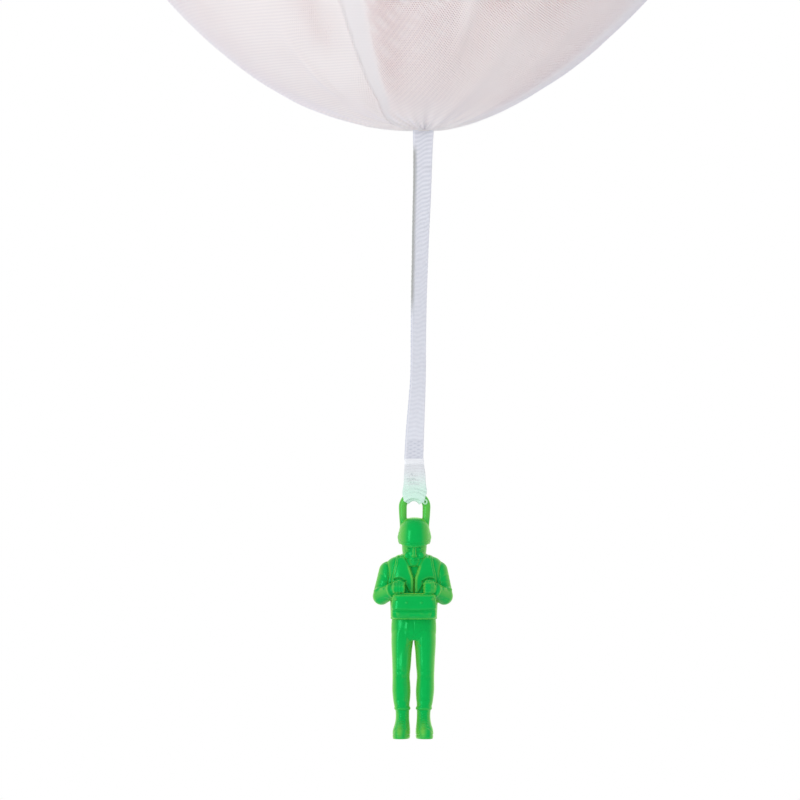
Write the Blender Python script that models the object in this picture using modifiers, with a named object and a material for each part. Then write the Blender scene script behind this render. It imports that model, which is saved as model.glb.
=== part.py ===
"""Tangle-free toy parachute.

A sewn nylon dome, a net skirt that takes the place of strings, a woven tape, and a moulded
parachutist that hangs from the tape by a loop on its helmet. The origin is the crown of the
canopy, +Z is up, and the parachutist faces -Y. All sizes are in metres.
"""

import bmesh
import bpy
from math import cos, exp, pi, radians, sin
from mathutils import Matrix, Vector

# Canopy
RIM_RADIUS = 0.147
DOME_HEIGHT = 0.104
GORES = 8
GORE_BULGE = 0.004
CLOTH = 0.0006
CROWN_PATCH_RADIUS = 0.013
CROWN_PATCH_THICKNESS = 0.0008
CROWN_OPENING_RADIUS = 0.004
BINDING_HEIGHT = 0.008
BINDING_THICKNESS = 0.0008

# Net skirt
SKIRT_DEPTH = 0.110
NET = 0.0005
NET_PANELS = 4
FRONT_SEAM_TURN = radians(-9.6)
EXIT_OFFSET = 0.0071
OFFSET_REACH = 0.060
FOLDS = 12
FOLD_DEPTH = 0.0014
FOLD_REACH = 0.030

# Gathered end of the net, inside the skirt
NECK_RADIUS = 0.0028
NECK_DROP = 0.0008
GATHER_HEIGHT = 0.016
GATHER_RADIUS = 0.0062

# Woven tape
TAPE_WIDTH = 0.0095
TAPE_THICKNESS = 0.0007
TAPE_LENGTH = 0.1447
TAPE_TURN = radians(45)
TURN_START_SHARE = 0.45
TURN_END_SHARE = 0.35
FIGURE_OFFSET = 0.0030
FOLD_LENGTH = 0.0155
PLY_PARTING = 0.0050
EYE_CLEARANCE = 0.0007
EYE_HALF_ANGLE = radians(42)
TACK_MARGIN = 0.0008

# Parachutist
LOOP_ARCH_RADIUS = 0.00525
LOOP_BAR_RADIUS = 0.00185
LOOP_RISE = 0.0046
HEAD_HEIGHT = 0.0218
TRUNK_HEIGHT = 0.0231
HIP_HEIGHT = 0.0093
LEG_LENGTH = 0.0434
COLLAR_RISE = 0.0056
HELMET_WIDTH = 0.0139
HELMET_EAR_WIDTH = 0.0146
HELMET_BRIM_RADIUS = 0.00055
HELMET_DEPTH = 0.0171
FACE_WIDTH = 0.0108
FACE_DEPTH = 0.0140
NECK_WIDTH = 0.0088
CHEST_WIDTH = 0.0252
CHEST_DEPTH = 0.0140
HIP_WIDTH = 0.0199
HIP_DEPTH = 0.0118
LEG_SPACING = 0.0106
LEG_WIDTH = 0.0089
LEG_DEPTH = 0.0104
BOOT_WIDTH = 0.0077
BOOT_LENGTH = 0.0135
BOOT_HEIGHT = 0.0136
TOE_OUT = radians(6)
SHOULDER_SPAN = 0.0218
ELBOW_SPAN = 0.0277
FIST_SPAN = 0.0134
SHOULDER_DROP = 0.0012
ELBOW_DROP = 0.0129
FIST_DROP = 0.0089
SHOULDER_RADIUS = 0.0044
ELBOW_RADIUS = 0.0039
WRIST_RADIUS = 0.0031
FIST_SIZE = 0.0056
FINGER_RADIUS = 0.00078
PACK_WIDTH = 0.0204
PACK_HEIGHT = 0.0107
PACK_DEPTH = 0.0056
PACK_DROP = 0.0116
BACK_PACK_WIDTH = 0.0196
BACK_PACK_HEIGHT = 0.0235
BACK_PACK_DEPTH = 0.0050
STRAP_RADIUS = 0.0008
STRAP_SPAN = 0.0156
LAPEL_RAISE = 0.0007

# Sewn or resting pieces keep this much between them
SEAM_GAP = 0.0003

# Points of one piece that are nearer than this are one point
WELD = 0.00001

# The jacket from its hem to its collar: shares of height, width and depth, and a forward shift
JACKET_SQUARENESS = 2.5
JACKET_SHARES = [
    (0.0, 0.79, 0.86, 0),
    (0.03, 0.82, 0.92, 0),
    (0.30, 0.84, 0.98, 0),
    (0.52, 0.90, 1.0, 0),
    (0.70, 1.0, 0.98, 0),
    (0.82, 1.0, 0.90, 0),
    (0.88, 0.96, 0.84, 0),
    (0.94, 0.84, 0.76, 0),
    (1.0, 0.54, 0.64, 0),
]

# Levels that follow from the sizes above, from the crown down to the loop's bar
DOME_TOP = -(CROWN_PATCH_THICKNESS + SEAM_GAP)
RIM_LEVEL = DOME_TOP - DOME_HEIGHT
EXIT_LEVEL = RIM_LEVEL - SKIRT_DEPTH
TAPE_TOP = EXIT_LEVEL - NECK_DROP - SEAM_GAP
FOLD_TOP = TAPE_TOP - TAPE_LENGTH - SEAM_GAP
BAR_LEVEL = FOLD_TOP - FOLD_LENGTH

# Levels on the parachutist, measured from the loop's bar
CROWN = -(LOOP_ARCH_RADIUS + LOOP_RISE)
CHIN = CROWN - HEAD_HEIGHT
HEM = CHIN - TRUNK_HEIGHT
CROTCH = HEM - HIP_HEIGHT
SOLE = CROTCH - LEG_LENGTH


def clear_scene():
    for thing in list(bpy.data.objects):
        bpy.data.objects.remove(thing, do_unlink=True)


def new_collection(name):
    collection = bpy.data.collections.new(name)
    bpy.context.scene.collection.children.link(collection)
    return collection


def new_material(name, colour, roughness, alpha=1.0):
    material = bpy.data.materials.new(name)
    material.use_nodes = True
    shader = material.node_tree.nodes["Principled BSDF"]
    shader.inputs["Base Color"].default_value = (*colour, 1)
    shader.inputs["Roughness"].default_value = roughness
    shader.inputs["Metallic"].default_value = 0
    shader.inputs["Alpha"].default_value = alpha
    material.diffuse_color = (*colour, alpha)
    return material


def add_object(name, mesh, collection, material=None, place=(0, 0, 0)):
    thing = bpy.data.objects.new(name, mesh)
    thing.location = place
    if material:
        mesh.materials.append(material)
    collection.objects.link(thing)
    return thing


def mesh_from(bm, name):
    mesh = bpy.data.meshes.new(name)
    bm.to_mesh(mesh)
    bm.free()
    return mesh


def sheet(name, columns, rows, point, thickness, offset, collection, material, place=(0, 0, 0)):
    """An open sheet through point(u, v), with u and v from 0 to 1, thickened by Solidify."""
    bm = bmesh.new()
    bmesh.ops.create_grid(bm, x_segments=columns, y_segments=rows, size=1)
    for vertex in bm.verts:
        vertex.co = point((vertex.co.x + 1) / 2, (vertex.co.y + 1) / 2)
    mesh = mesh_from(bm, name)
    mesh.shade_smooth()
    cloth = add_object(name, mesh, collection, material, place)
    solidify = cloth.modifiers.new("thickness", "SOLIDIFY")
    solidify.thickness = thickness
    solidify.offset = offset
    return cloth


def turned(name, profile, steps, closed, collection, material, place=(0, 0, 0)):
    """A profile of (radius, height) points turned round Z; it runs down the outer side."""
    mesh = bpy.data.meshes.new(name)
    edges = [(k, k + 1) for k in range(len(profile) - 1)]
    if closed:
        edges.append((len(profile) - 1, 0))
    mesh.from_pydata([(radius, 0, height) for radius, height in profile], edges, [])
    piece = add_object(name, mesh, collection, material, place)
    screw = piece.modifiers.new("turn", "SCREW")
    screw.steps = steps
    screw.render_steps = steps
    screw.use_merge_vertices = True
    screw.merge_threshold = WELD
    return piece


def smooth_step(share):
    share = min(max(share, 0), 1)
    return share * share * (3 - 2 * share)


# Canopy


def make_crown_patch(collection, material):
    """The round patch sewn over the meeting gore tips; its flat top is the crown of the toy."""
    bm = bmesh.new()
    bmesh.ops.create_cone(
        bm,
        cap_ends=True,
        segments=32,
        radius1=CROWN_PATCH_RADIUS,
        radius2=CROWN_PATCH_RADIUS,
        depth=CROWN_PATCH_THICKNESS,
        matrix=Matrix.Translation((0, 0, -CROWN_PATCH_THICKNESS / 2)),
    )
    add_object("crown_patch", mesh_from(bm, "crown_patch"), collection, material)


def make_gore(number, collection, material):
    """One of the panels of the dome, which bellies out a little between its two seams."""
    half = pi / GORES
    crown_turn = CROWN_OPENING_RADIUS / RIM_RADIUS

    def point(u, v):
        slope = pi / 2 + (crown_turn - pi / 2) * v
        base_radius = RIM_RADIUS * sin(slope)
        spread = half - SEAM_GAP / 2 / base_radius
        turn = FRONT_SEAM_TURN + half * (2 * number + 1) + spread * (2 * u - 1)
        belly = GORE_BULGE * sin(2 * slope) ** 2 * (1 - (2 * u - 1) ** 2)
        radius = base_radius + belly * sin(slope)
        height = DOME_TOP - DOME_HEIGHT * (1 - cos(slope)) + belly * cos(slope)
        return Vector((radius * sin(turn), -radius * cos(turn), height))

    sheet(f"canopy_gore_{number + 1}", 6, 10, point, CLOTH, -1, collection, material)


def make_rim_binding(collection, material):
    """The folded tape that binds the edge where the nylon and the net are sewn together."""
    inner = RIM_RADIUS + SEAM_GAP
    outer = inner + BINDING_THICKNESS
    top = RIM_LEVEL + BINDING_HEIGHT / 2
    bottom = RIM_LEVEL - BINDING_HEIGHT / 2
    profile = [(outer, top), (outer, bottom), (inner, bottom), (inner, top)]
    turned("rim_binding", profile, 64, True, collection, material)


# Net skirt


def net_point(turn, ring_radius):
    """A point of the net: a bowl whose lowest point lies under the tape, with its main folds."""
    lean = max(0, 1 - (ring_radius - NECK_RADIUS - SEAM_GAP) / OFFSET_REACH)
    centre = EXIT_OFFSET * lean * lean
    curve = SKIRT_DEPTH / RIM_RADIUS**2
    steepness = 2 * curve * ring_radius
    reach = ring_radius / FOLD_REACH
    depth = FOLD_DEPTH * reach**2 * exp(2 * (1 - reach))
    unevenness = 0.7 + 0.3 * sin(3 * turn)
    fold = depth * unevenness * cos(FOLDS * turn)
    run = (1 + steepness**2) ** 0.5
    radius = ring_radius + fold * steepness / run
    height = EXIT_LEVEL + curve * ring_radius**2 - fold / run
    return Vector((centre + radius * sin(turn), -radius * cos(turn), height))


def make_net_panel(number, collection, material):
    """One of the panels of soft net, wide at the rim and drawn together at the tape."""
    half = pi / NET_PANELS
    inner = NECK_RADIUS + SEAM_GAP
    outer = RIM_RADIUS - CLOTH

    def point(u, v):
        ring_radius = inner + (outer - inner) * v
        spread = half - SEAM_GAP / 2 / ring_radius
        turn = FRONT_SEAM_TURN + half * (2 * number + 1) + spread * (2 * u - 1)
        return net_point(turn, ring_radius)

    sheet(f"net_panel_{number + 1}", 18, 12, point, NET, -1, collection, material)


def make_gather(collection, material):
    """The gathered end of the net, bound tight at its neck, with a tuft left above the binding."""
    profile = [
        (0, GATHER_HEIGHT),
        (GATHER_RADIUS * 0.7, GATHER_HEIGHT),
        (GATHER_RADIUS, GATHER_HEIGHT * 0.85),
        (GATHER_RADIUS * 0.85, GATHER_HEIGHT * 0.6),
        (NECK_RADIUS, GATHER_HEIGHT * 0.3),
        (NECK_RADIUS, -NECK_DROP),
        (0, -NECK_DROP),
    ]
    place = (EXIT_OFFSET, 0, EXIT_LEVEL)
    turned("net_gather", profile, 16, False, collection, material, place)


# Woven tape


def make_ribbon(collection, material):
    """The tape from the net to its doubled end; it turns part of the way round and back."""
    half_width = TAPE_WIDTH / 2
    drift = FIGURE_OFFSET - EXIT_OFFSET

    def point(u, v):
        turn = TAPE_TURN * smooth_step(v / TURN_START_SHARE) * smooth_step((1 - v) / TURN_END_SHARE)
        across = half_width * (2 * u - 1)
        return Vector((drift * v + across * cos(turn), across * sin(turn), -TAPE_LENGTH * v))

    place = (EXIT_OFFSET, 0, TAPE_TOP)
    sheet("ribbon", 1, 30, point, TAPE_THICKNESS, 0, collection, material, place)


def make_ribbon_fold(collection, hidden, material):
    """The doubled end of the tape: down the front, under the loop's bar, up the back, and sewn."""
    half_width = TAPE_WIDTH / 2
    ply = (TAPE_THICKNESS + SEAM_GAP) / 2
    wrap_radius = LOOP_BAR_RADIUS + EYE_CLEARANCE + TAPE_THICKNESS / 2
    bar = -FOLD_LENGTH
    arch_centre = bar - LOOP_ARCH_RADIUS
    wrap_rows = 10
    straight_rows = 4

    def on_wrap(across, turn):
        reach = LOOP_ARCH_RADIUS - wrap_radius * cos(turn)
        swing = EYE_HALF_ANGLE * across
        height = arch_centre + reach * cos(swing)
        return Vector((reach * sin(swing), wrap_radius * sin(turn), height))

    def on_ply(across, side, share):
        low = on_wrap(across, side * pi / 2)
        parting = Vector((half_width * across, side * ply, bar + PLY_PARTING))
        top = Vector((half_width * across, side * ply, 0))
        rise = share * straight_rows
        if rise < 1:
            return low.lerp(parting, rise)
        return parting.lerp(top, (rise - 1) / (straight_rows - 1))

    def point(u, v):
        across = 2 * u - 1
        total = wrap_rows + 2 * straight_rows
        step = v * total
        if step < straight_rows:
            return on_ply(across, -1, 1 - step / straight_rows)
        if step > total - straight_rows:
            return on_ply(across, 1, (step - total + straight_rows) / straight_rows)
        return on_wrap(across, pi * ((step - straight_rows) / wrap_rows - 0.5))

    place = (FIGURE_OFFSET, 0, FOLD_TOP)
    rows = wrap_rows + 2 * straight_rows
    fold = sheet("ribbon_fold", 6, rows, point, TAPE_THICKNESS, 0, collection, material, place)

    bm = bmesh.new()
    low = bar + PLY_PARTING + TACK_MARGIN
    high = -TACK_MARGIN
    size = Matrix.Diagonal((TAPE_WIDTH - 2 * TACK_MARGIN, 2 * ply, high - low, 1))
    centre = Matrix.Translation((0, 0, (low + high) / 2))
    bmesh.ops.create_cube(bm, size=1, matrix=centre @ size)
    stitching = add_object("fold_stitching", mesh_from(bm, "fold_stitching"), hidden, None, place)
    hide(stitching)
    union = fold.modifiers.new("sewn", "BOOLEAN")
    union.operation = "UNION"
    union.object = stitching


def hide(thing):
    thing.hide_render = True
    thing.display_type = "WIRE"


# Parachutist: pieces of one moulding, each a closed shape that overlaps its neighbours


def ring(centre, across, along, squareness, sides):
    """Points of a superellipse; across and along are its half axes."""
    points = []
    for k in range(sides):
        turn = 2 * pi * k / sides
        x = abs(cos(turn)) ** (2 / squareness) * (1 if cos(turn) > 0 else -1)
        y = abs(sin(turn)) ** (2 / squareness) * (1 if sin(turn) > 0 else -1)
        points.append(centre + across * x + along * y)
    return points


def loft(name, rings):
    """A closed skin through rings with the same number of points."""
    bm = bmesh.new()
    loops = [[bm.verts.new(point) for point in points] for points in rings]
    for low, high in zip(loops, loops[1:]):
        for k in range(len(low)):
            after = (k + 1) % len(low)
            bm.faces.new((low[k], low[after], high[after], high[k]))
    bm.faces.new(loops[0])
    bm.faces.new(loops[-1])
    bmesh.ops.recalc_face_normals(bm, faces=bm.faces)
    return mesh_from(bm, name)


def stack(name, level, size, row_shares, squareness=2.4, sides=20, side_x=0, turn=0):
    """Level rings, each from shares of (width, depth, height): height, width, depth and forward."""
    width, depth, height = size
    rings = []
    turned_axes = Matrix.Rotation(turn, 3, "Z")
    for height_share, width_share, depth_share, forward_share in row_shares:
        forward = turned_axes @ Vector((0, -depth * forward_share, 0))
        centre = Vector((side_x, 0, level + height * height_share)) + forward
        across = turned_axes @ Vector((width / 2 * width_share, 0, 0))
        along = turned_axes @ Vector((0, depth / 2 * depth_share, 0))
        rings.append(ring(centre, across, along, squareness, sides))
    return loft(name, rings)


def ball(name, centre, half_sizes):
    bm = bmesh.new()
    matrix = Matrix.Translation(centre) @ Matrix.Diagonal((*half_sizes, 1))
    bmesh.ops.create_uvsphere(bm, u_segments=14, v_segments=9, radius=1, matrix=matrix)
    return mesh_from(bm, name)


def limb(name, start, end, start_radius, end_radius):
    start, end = Vector(start), Vector(end)
    bm = bmesh.new()
    aim = (end - start).to_track_quat("Z", "Y").to_matrix().to_4x4()
    matrix = Matrix.Translation((start + end) / 2) @ aim
    bmesh.ops.create_cone(
        bm,
        cap_ends=True,
        segments=14,
        radius1=start_radius,
        radius2=end_radius,
        depth=(end - start).length,
        matrix=matrix,
    )
    return mesh_from(bm, name)


def rounded_box(name, low, high, rounding):
    low, high = Vector(low), Vector(high)
    bm = bmesh.new()
    matrix = Matrix.Translation((low + high) / 2) @ Matrix.Diagonal((*(high - low), 1))
    bmesh.ops.create_cube(bm, size=1, matrix=matrix)
    bmesh.ops.bevel(bm, geom=bm.edges[:], offset=rounding, segments=3, profile=0.5, affect="EDGES")
    return mesh_from(bm, name)


def tube(name, points, radius):
    """A round bar along the points, made a mesh with its caps welded on."""
    curve = bpy.data.curves.new(name, "CURVE")
    curve.dimensions = "3D"
    curve.bevel_depth = radius
    curve.bevel_resolution = 2
    curve.use_fill_caps = True
    spline = curve.splines.new("POLY")
    spline.points.add(len(points) - 1)
    for slot, point in zip(spline.points, points):
        slot.co = (*point, 1)
    return meshed(name, curve)


def plate(name, outline, back, front):
    """A flat outline of (x, z) points, filled and extruded from back to front along Y."""
    curve = bpy.data.curves.new(name, "CURVE")
    curve.dimensions = "2D"
    curve.fill_mode = "BOTH"
    curve.extrude = abs(front - back) / 2
    spline = curve.splines.new("POLY")
    spline.points.add(len(outline) - 1)
    for slot, (x, z) in zip(spline.points, outline):
        slot.co = (x, z, 0, 1)
    spline.use_cyclic_u = True
    mesh = meshed(name, curve)
    mesh.transform(Matrix.Translation((0, (front + back) / 2, 0)) @ Matrix.Rotation(pi / 2, 4, "X"))
    return mesh


def meshed(name, curve):
    guide = bpy.data.objects.new(name, curve)
    bpy.context.scene.collection.objects.link(guide)
    bpy.context.view_layer.update()
    graph = bpy.context.evaluated_depsgraph_get()
    mesh = bpy.data.meshes.new_from_object(guide.evaluated_get(graph))
    bpy.data.objects.remove(guide, do_unlink=True)
    bm = bmesh.new()
    bm.from_mesh(mesh)
    bmesh.ops.remove_doubles(bm, verts=bm.verts, dist=WELD)
    bmesh.ops.recalc_face_normals(bm, faces=bm.faces)
    bm.to_mesh(mesh)
    bm.free()
    return mesh


def head_loop():
    """The tall loop: two posts from the sides of the helmet, joined by an arch."""
    arch_centre = -LOOP_ARCH_RADIUS
    foot = CROWN - HEAD_HEIGHT / 3
    points = [(-LOOP_ARCH_RADIUS, 0, foot)]
    steps = 12
    for k in range(steps + 1):
        turn = pi * k / steps
        points.append((-LOOP_ARCH_RADIUS * cos(turn), 0, arch_centre + LOOP_ARCH_RADIUS * sin(turn)))
    points.append((LOOP_ARCH_RADIUS, 0, foot))
    return [tube("head_loop", points, LOOP_BAR_RADIUS)]


def head():
    """Helmet with its ear pads and brim, a plain face under it, and the neck."""
    helmet_shares = [
        (0.455, 0.84, 0.88, -0.03),
        (0.49, 0.95, 0.95, -0.03),
        (0.55, 1.0, 1.0, -0.03),
        (0.65, 1.0, 1.0, -0.03),
        (0.76, 0.95, 0.96, -0.03),
        (0.86, 0.86, 0.865, -0.03),
        (0.935, 0.70, 0.71, -0.03),
        (0.98, 0.48, 0.50, -0.02),
        (1, 0.16, 0.17, 0),
    ]
    helmet_size = (HELMET_WIDTH, HELMET_DEPTH, HEAD_HEIGHT)
    brim_half = HELMET_WIDTH / 2 * 0.93
    brim_reach = HELMET_DEPTH / 2 * 0.905
    brim_points = []
    brim_steps = 12
    for k in range(brim_steps + 1):
        turn = radians(-78) + radians(156) * k / brim_steps
        level = CHIN + HEAD_HEIGHT * (0.49 - 0.06 * cos(turn) ** 2)
        brim_points.append((brim_half * sin(turn), -brim_reach * cos(turn), level))

    face_shares = [
        (0.0, 0.50, 0.56, 0.10),
        (0.09, 0.76, 0.78, 0.07),
        (0.22, 0.92, 0.93, 0.035),
        (0.38, 1.0, 1.0, 0.01),
        (0.60, 1.0, 1.0, 0),
    ]
    face_size = (FACE_WIDTH, FACE_DEPTH, HEAD_HEIGHT)

    face_front = -FACE_DEPTH / 2
    nose_centre = (0, face_front, CHIN + HEAD_HEIGHT * 0.26)
    nose_half = (FACE_WIDTH * 0.085, FACE_DEPTH * 0.085, HEAD_HEIGHT * 0.085)
    eye_half = (FACE_WIDTH * 0.12, FACE_DEPTH * 0.06, HEAD_HEIGHT * 0.034)
    ear_thickness = HELMET_EAR_WIDTH / 2 * 0.14
    ear_half = (ear_thickness, HELMET_DEPTH * 0.175, HEAD_HEIGHT * 0.14)
    neck_half = NECK_WIDTH / 2
    neck_low = (0, 0, CHIN - COLLAR_RISE)
    neck_high = (0, 0, CHIN + HEAD_HEIGHT * 0.3)
    pieces = [
        stack("helmet", CHIN, helmet_size, helmet_shares, 2.15, 24),
        tube("helmet_brim", brim_points, HELMET_BRIM_RADIUS),
        stack("face", CHIN, face_size, face_shares, 2.3, 20),
        ball("nose", nose_centre, nose_half),
        limb("neck", neck_low, neck_high, neck_half, neck_half),
    ]
    for side in (-1, 1):
        name = "right" if side > 0 else "left"
        ear_x = side * (HELMET_EAR_WIDTH / 2 - ear_thickness)
        ear_centre = (ear_x, HELMET_DEPTH * 0.035, CHIN + HEAD_HEIGHT * 0.59)
        eye_centre = (side * FACE_WIDTH * 0.22, face_front * 0.90, CHIN + HEAD_HEIGHT * 0.355)
        pieces += [
            ball(f"ear_pad_{name}", ear_centre, ear_half),
            ball(f"eye_{name}", eye_centre, eye_half),
        ]
    return pieces


def trunk():
    """The jacket, from its hem to the collar, and the hips of the trousers under it."""
    hip_shares = [
        (-0.02, 0.60, 0.50, 0),
        (0.10, 0.80, 0.80, 0),
        (0.30, 0.93, 0.94, 0),
        (0.60, 1.0, 1.0, 0),
        (1.15, 0.98, 0.98, 0),
    ]
    jacket_size = (CHEST_WIDTH, CHEST_DEPTH, TRUNK_HEIGHT + COLLAR_RISE)
    hip_size = (HIP_WIDTH, HIP_DEPTH, HIP_HEIGHT)
    return [
        stack("jacket", HEM, jacket_size, JACKET_SHARES, JACKET_SQUARENESS, 24),
        stack("hips", CROTCH, hip_size, hip_shares, 2.6, 24),
    ]


def chest_front_at(x, z):
    """How far forward the jacket reaches at a point seen from the front."""
    height_share = (z - HEM) / (TRUNK_HEIGHT + COLLAR_RISE)
    for low, high in zip(JACKET_SHARES, JACKET_SHARES[1:]):
        if height_share <= high[0]:
            break
    share = min((height_share - low[0]) / (high[0] - low[0]), 1)
    half_width = CHEST_WIDTH / 2 * (low[1] + (high[1] - low[1]) * share)
    half_depth = CHEST_DEPTH / 2 * (low[2] + (high[2] - low[2]) * share)
    reach = min(abs(x) / half_width, 1)
    return -half_depth * (1 - reach**JACKET_SQUARENESS) ** (1 / JACKET_SQUARENESS)


def jacket_front():
    """The collar roll round the neck and the two wide lapels that run down from it."""
    collar_half = NECK_WIDTH * 0.56
    collar_level = CHIN + COLLAR_RISE * 0.55
    collar_points = []
    steps = 12
    for k in range(steps + 1):
        turn = radians(-62) + radians(304) * k / steps
        dip = COLLAR_RISE * 0.45 * max(0, -sin(turn))
        collar_points.append((collar_half * cos(turn), collar_half * sin(turn), collar_level - dip))
    pieces = [tube("collar", collar_points, NECK_WIDTH * 0.14)]
    half_chest = CHEST_WIDTH / 2
    lapel_shares = [
        (0.30, 0.02),
        (0.50, 0.17),
        (0.69, -0.12),
        (0.71, -0.24),
        (0.56, -0.285),
        (0.32, -0.30),
        (0.03, -0.50),
        (0.03, -0.28),
        (0.17, -0.05),
    ]
    for side in (-1, 1):
        outline = [(side * half_chest * x, CHIN + TRUNK_HEIGHT * z) for x, z in lapel_shares]
        name = "lapel_right" if side > 0 else "lapel_left"
        lapel = plate(name, outline, 0, -LAPEL_RAISE)
        for vertex in lapel.vertices:
            raised = vertex.co.y < -LAPEL_RAISE / 2
            front = chest_front_at(vertex.co.x, vertex.co.z)
            vertex.co.y = front - LAPEL_RAISE if raised else front / 2
        pieces.append(lapel)
    return pieces


def arms():
    """Bent arms: upper arm down to the elbow, forearm in to the chest, fist on the chest pack."""
    pieces = []
    for side in (-1, 1):
        name = "right" if side > 0 else "left"
        shoulder = (side * SHOULDER_SPAN / 2, 0, CHIN - SHOULDER_DROP)
        elbow = (side * ELBOW_SPAN / 2, -CHEST_DEPTH * 0.12, CHIN - ELBOW_DROP)
        fist = (side * FIST_SPAN / 2, -CHEST_DEPTH / 2 - PACK_DEPTH * 0.55, CHIN - FIST_DROP)
        wrist = Vector(fist).lerp(Vector(elbow), 0.30)
        knuckle_half = FIST_SIZE / 2
        pieces += [
            ball(f"shoulder_{name}", shoulder, (SHOULDER_RADIUS,) * 3),
            limb(f"upper_arm_{name}", shoulder, elbow, SHOULDER_RADIUS, ELBOW_RADIUS * 0.96),
            ball(f"elbow_{name}", elbow, (ELBOW_RADIUS,) * 3),
            limb(f"forearm_{name}", elbow, wrist, ELBOW_RADIUS * 0.94, WRIST_RADIUS * 1.12),
            limb(f"wrist_{name}", wrist, fist, WRIST_RADIUS * 0.8, WRIST_RADIUS * 0.8),
            ball(f"fist_{name}", fist, (knuckle_half * 1.04, knuckle_half * 0.8, knuckle_half * 0.96)),
        ]
        pieces += fingers(side, fist)
    return pieces


def fingers(side, fist):
    """Four fingers curled over the front of a fist: upright on one hand, level on the other."""
    name = "right" if side > 0 else "left"
    half = FIST_SIZE / 2
    curl_shares = [(-0.72, 0.62), (-0.36, 0.88), (0.20, 0.94), (0.70, 0.74)]
    pieces = []
    for k in range(4):
        beside = half * (0.50 * k - 0.75)
        points = []
        for along_share, reach_share in curl_shares:
            along = half * along_share
            x, z = (beside, along) if side < 0 else (-along, beside)
            points.append((fist[0] + x, fist[1] - half * reach_share, fist[2] + z))
        pieces.append(tube(f"finger_{name}_{k + 1}", points, FINGER_RADIUS))
    return pieces


def packs():
    """The chest pack and the back pack with their flaps, and the straps over the shoulders."""
    chest_front = -CHEST_DEPTH / 2
    pack_front = chest_front - PACK_DEPTH
    pack_top = CHIN - PACK_DROP
    pack_bottom = pack_top - PACK_HEIGHT
    half = PACK_WIDTH / 2
    corner = PACK_HEIGHT * 0.24
    flap_bottom = pack_top - PACK_HEIGHT * 0.60
    flap_front = pack_front - LAPEL_RAISE
    back_face = CHEST_DEPTH / 2
    back_half = BACK_PACK_WIDTH / 2
    back_bottom = HEM + LAPEL_RAISE
    back_top = back_bottom + BACK_PACK_HEIGHT
    back_corner = BACK_PACK_DEPTH * 0.42
    pieces = [
        rounded_box("chest_pack", (-half, pack_front, pack_bottom), (half, 0, pack_top), corner),
        rounded_box(
            "pack_flap",
            (-half * 0.96, flap_front, flap_bottom),
            (half * 0.96, chest_front / 2, pack_top + LAPEL_RAISE),
            corner * 0.5,
        ),
        rounded_box(
            "back_pack",
            (-back_half, 0, back_bottom),
            (back_half, back_face + BACK_PACK_DEPTH, back_top),
            back_corner,
        ),
        rounded_box(
            "back_flap",
            (-back_half * 0.68, 0, back_bottom + BACK_PACK_HEIGHT * 0.36),
            (back_half * 0.68, back_face + BACK_PACK_DEPTH + LAPEL_RAISE, back_top - back_corner),
            back_corner * 0.5,
        ),
    ]
    half_span = STRAP_SPAN / 2
    shoulder_top = CHIN + COLLAR_RISE * 0.42
    for side in (-1, 1):
        points = [
            (side * half_span * 1.12, chest_front * 0.93, pack_top - STRAP_RADIUS),
            (side * half_span * 1.14, chest_front * 0.97, CHIN - PACK_DROP / 2),
            (side * half_span * 1.04, chest_front * 0.82, CHIN),
            (side * half_span, chest_front * 0.45, shoulder_top),
            (side * half_span, back_face * 0.45, shoulder_top),
            (side * half_span, back_face, CHIN - STRAP_RADIUS),
        ]
        pieces.append(tube("strap_right" if side > 0 else "strap_left", points, STRAP_RADIUS))
    return pieces


def legs():
    """Straight trouser legs over laced boots with a proud cuff and a flat sole."""
    trouser_shares = [
        (0.29, 0.76, 0.70, 0.0),
        (0.315, 0.84, 0.78, 0.0),
        (0.38, 0.83, 0.77, -0.01),
        (0.485, 0.93, 0.88, -0.03),
        (0.61, 0.85, 0.82, 0.01),
        (0.70, 0.88, 0.86, 0.02),
        (0.85, 0.99, 0.97, 0.0),
        (0.94, 1.03, 1.03, 0.0),
        (1.04, 1.02, 1.07, 0.0),
        (1.12, 0.96, 1.02, 0.0),
    ]
    boot_shares = [
        (0.0, 0.90, 0.94, 0.20),
        (0.05, 0.97, 1.0, 0.20),
        (0.20, 1.0, 1.0, 0.20),
        (0.36, 0.97, 0.90, 0.165),
        (0.52, 0.88, 0.69, 0.085),
        (0.70, 0.80, 0.54, 0.02),
        (0.88, 0.85, 0.54, 0.0),
        (0.90, 0.94, 0.60, 0.0),
        (0.98, 0.94, 0.60, 0.0),
        (1.0, 0.84, 0.54, 0.0),
    ]
    pieces = []
    for side in (-1, 1):
        name = "right" if side > 0 else "left"
        x = side * LEG_SPACING / 2
        boot_x = x - side * LEG_SPACING * 0.04
        leg_size = (LEG_WIDTH, LEG_DEPTH, LEG_LENGTH)
        boot_size = (BOOT_WIDTH, BOOT_LENGTH, BOOT_HEIGHT)
        pieces += [
            stack(f"leg_{name}", SOLE, leg_size, trouser_shares, 2.3, 16, x),
            stack(f"boot_{name}", SOLE, boot_size, boot_shares, 2.4, 16, boot_x, side * TOE_OUT),
        ]
    return pieces


def make_parachutist(collection, material):
    """All pieces of the figure joined into one moulding, with its origin on the loop's bar."""
    place = (FIGURE_OFFSET, 0, BAR_LEVEL)
    jacket, *others = trunk() + head() + head_loop() + jacket_front() + arms() + packs() + legs()
    figure = add_object("parachutist", jacket, collection, material, place)
    moulded = new_collection("moulded_pieces")
    moulded.hide_render = True
    for mesh in others:
        hide(add_object(mesh.name, mesh, moulded, None, place))
    union = figure.modifiers.new("one_moulding", "BOOLEAN")
    union.operation = "UNION"
    union.operand_type = "COLLECTION"
    union.collection = moulded


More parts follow.
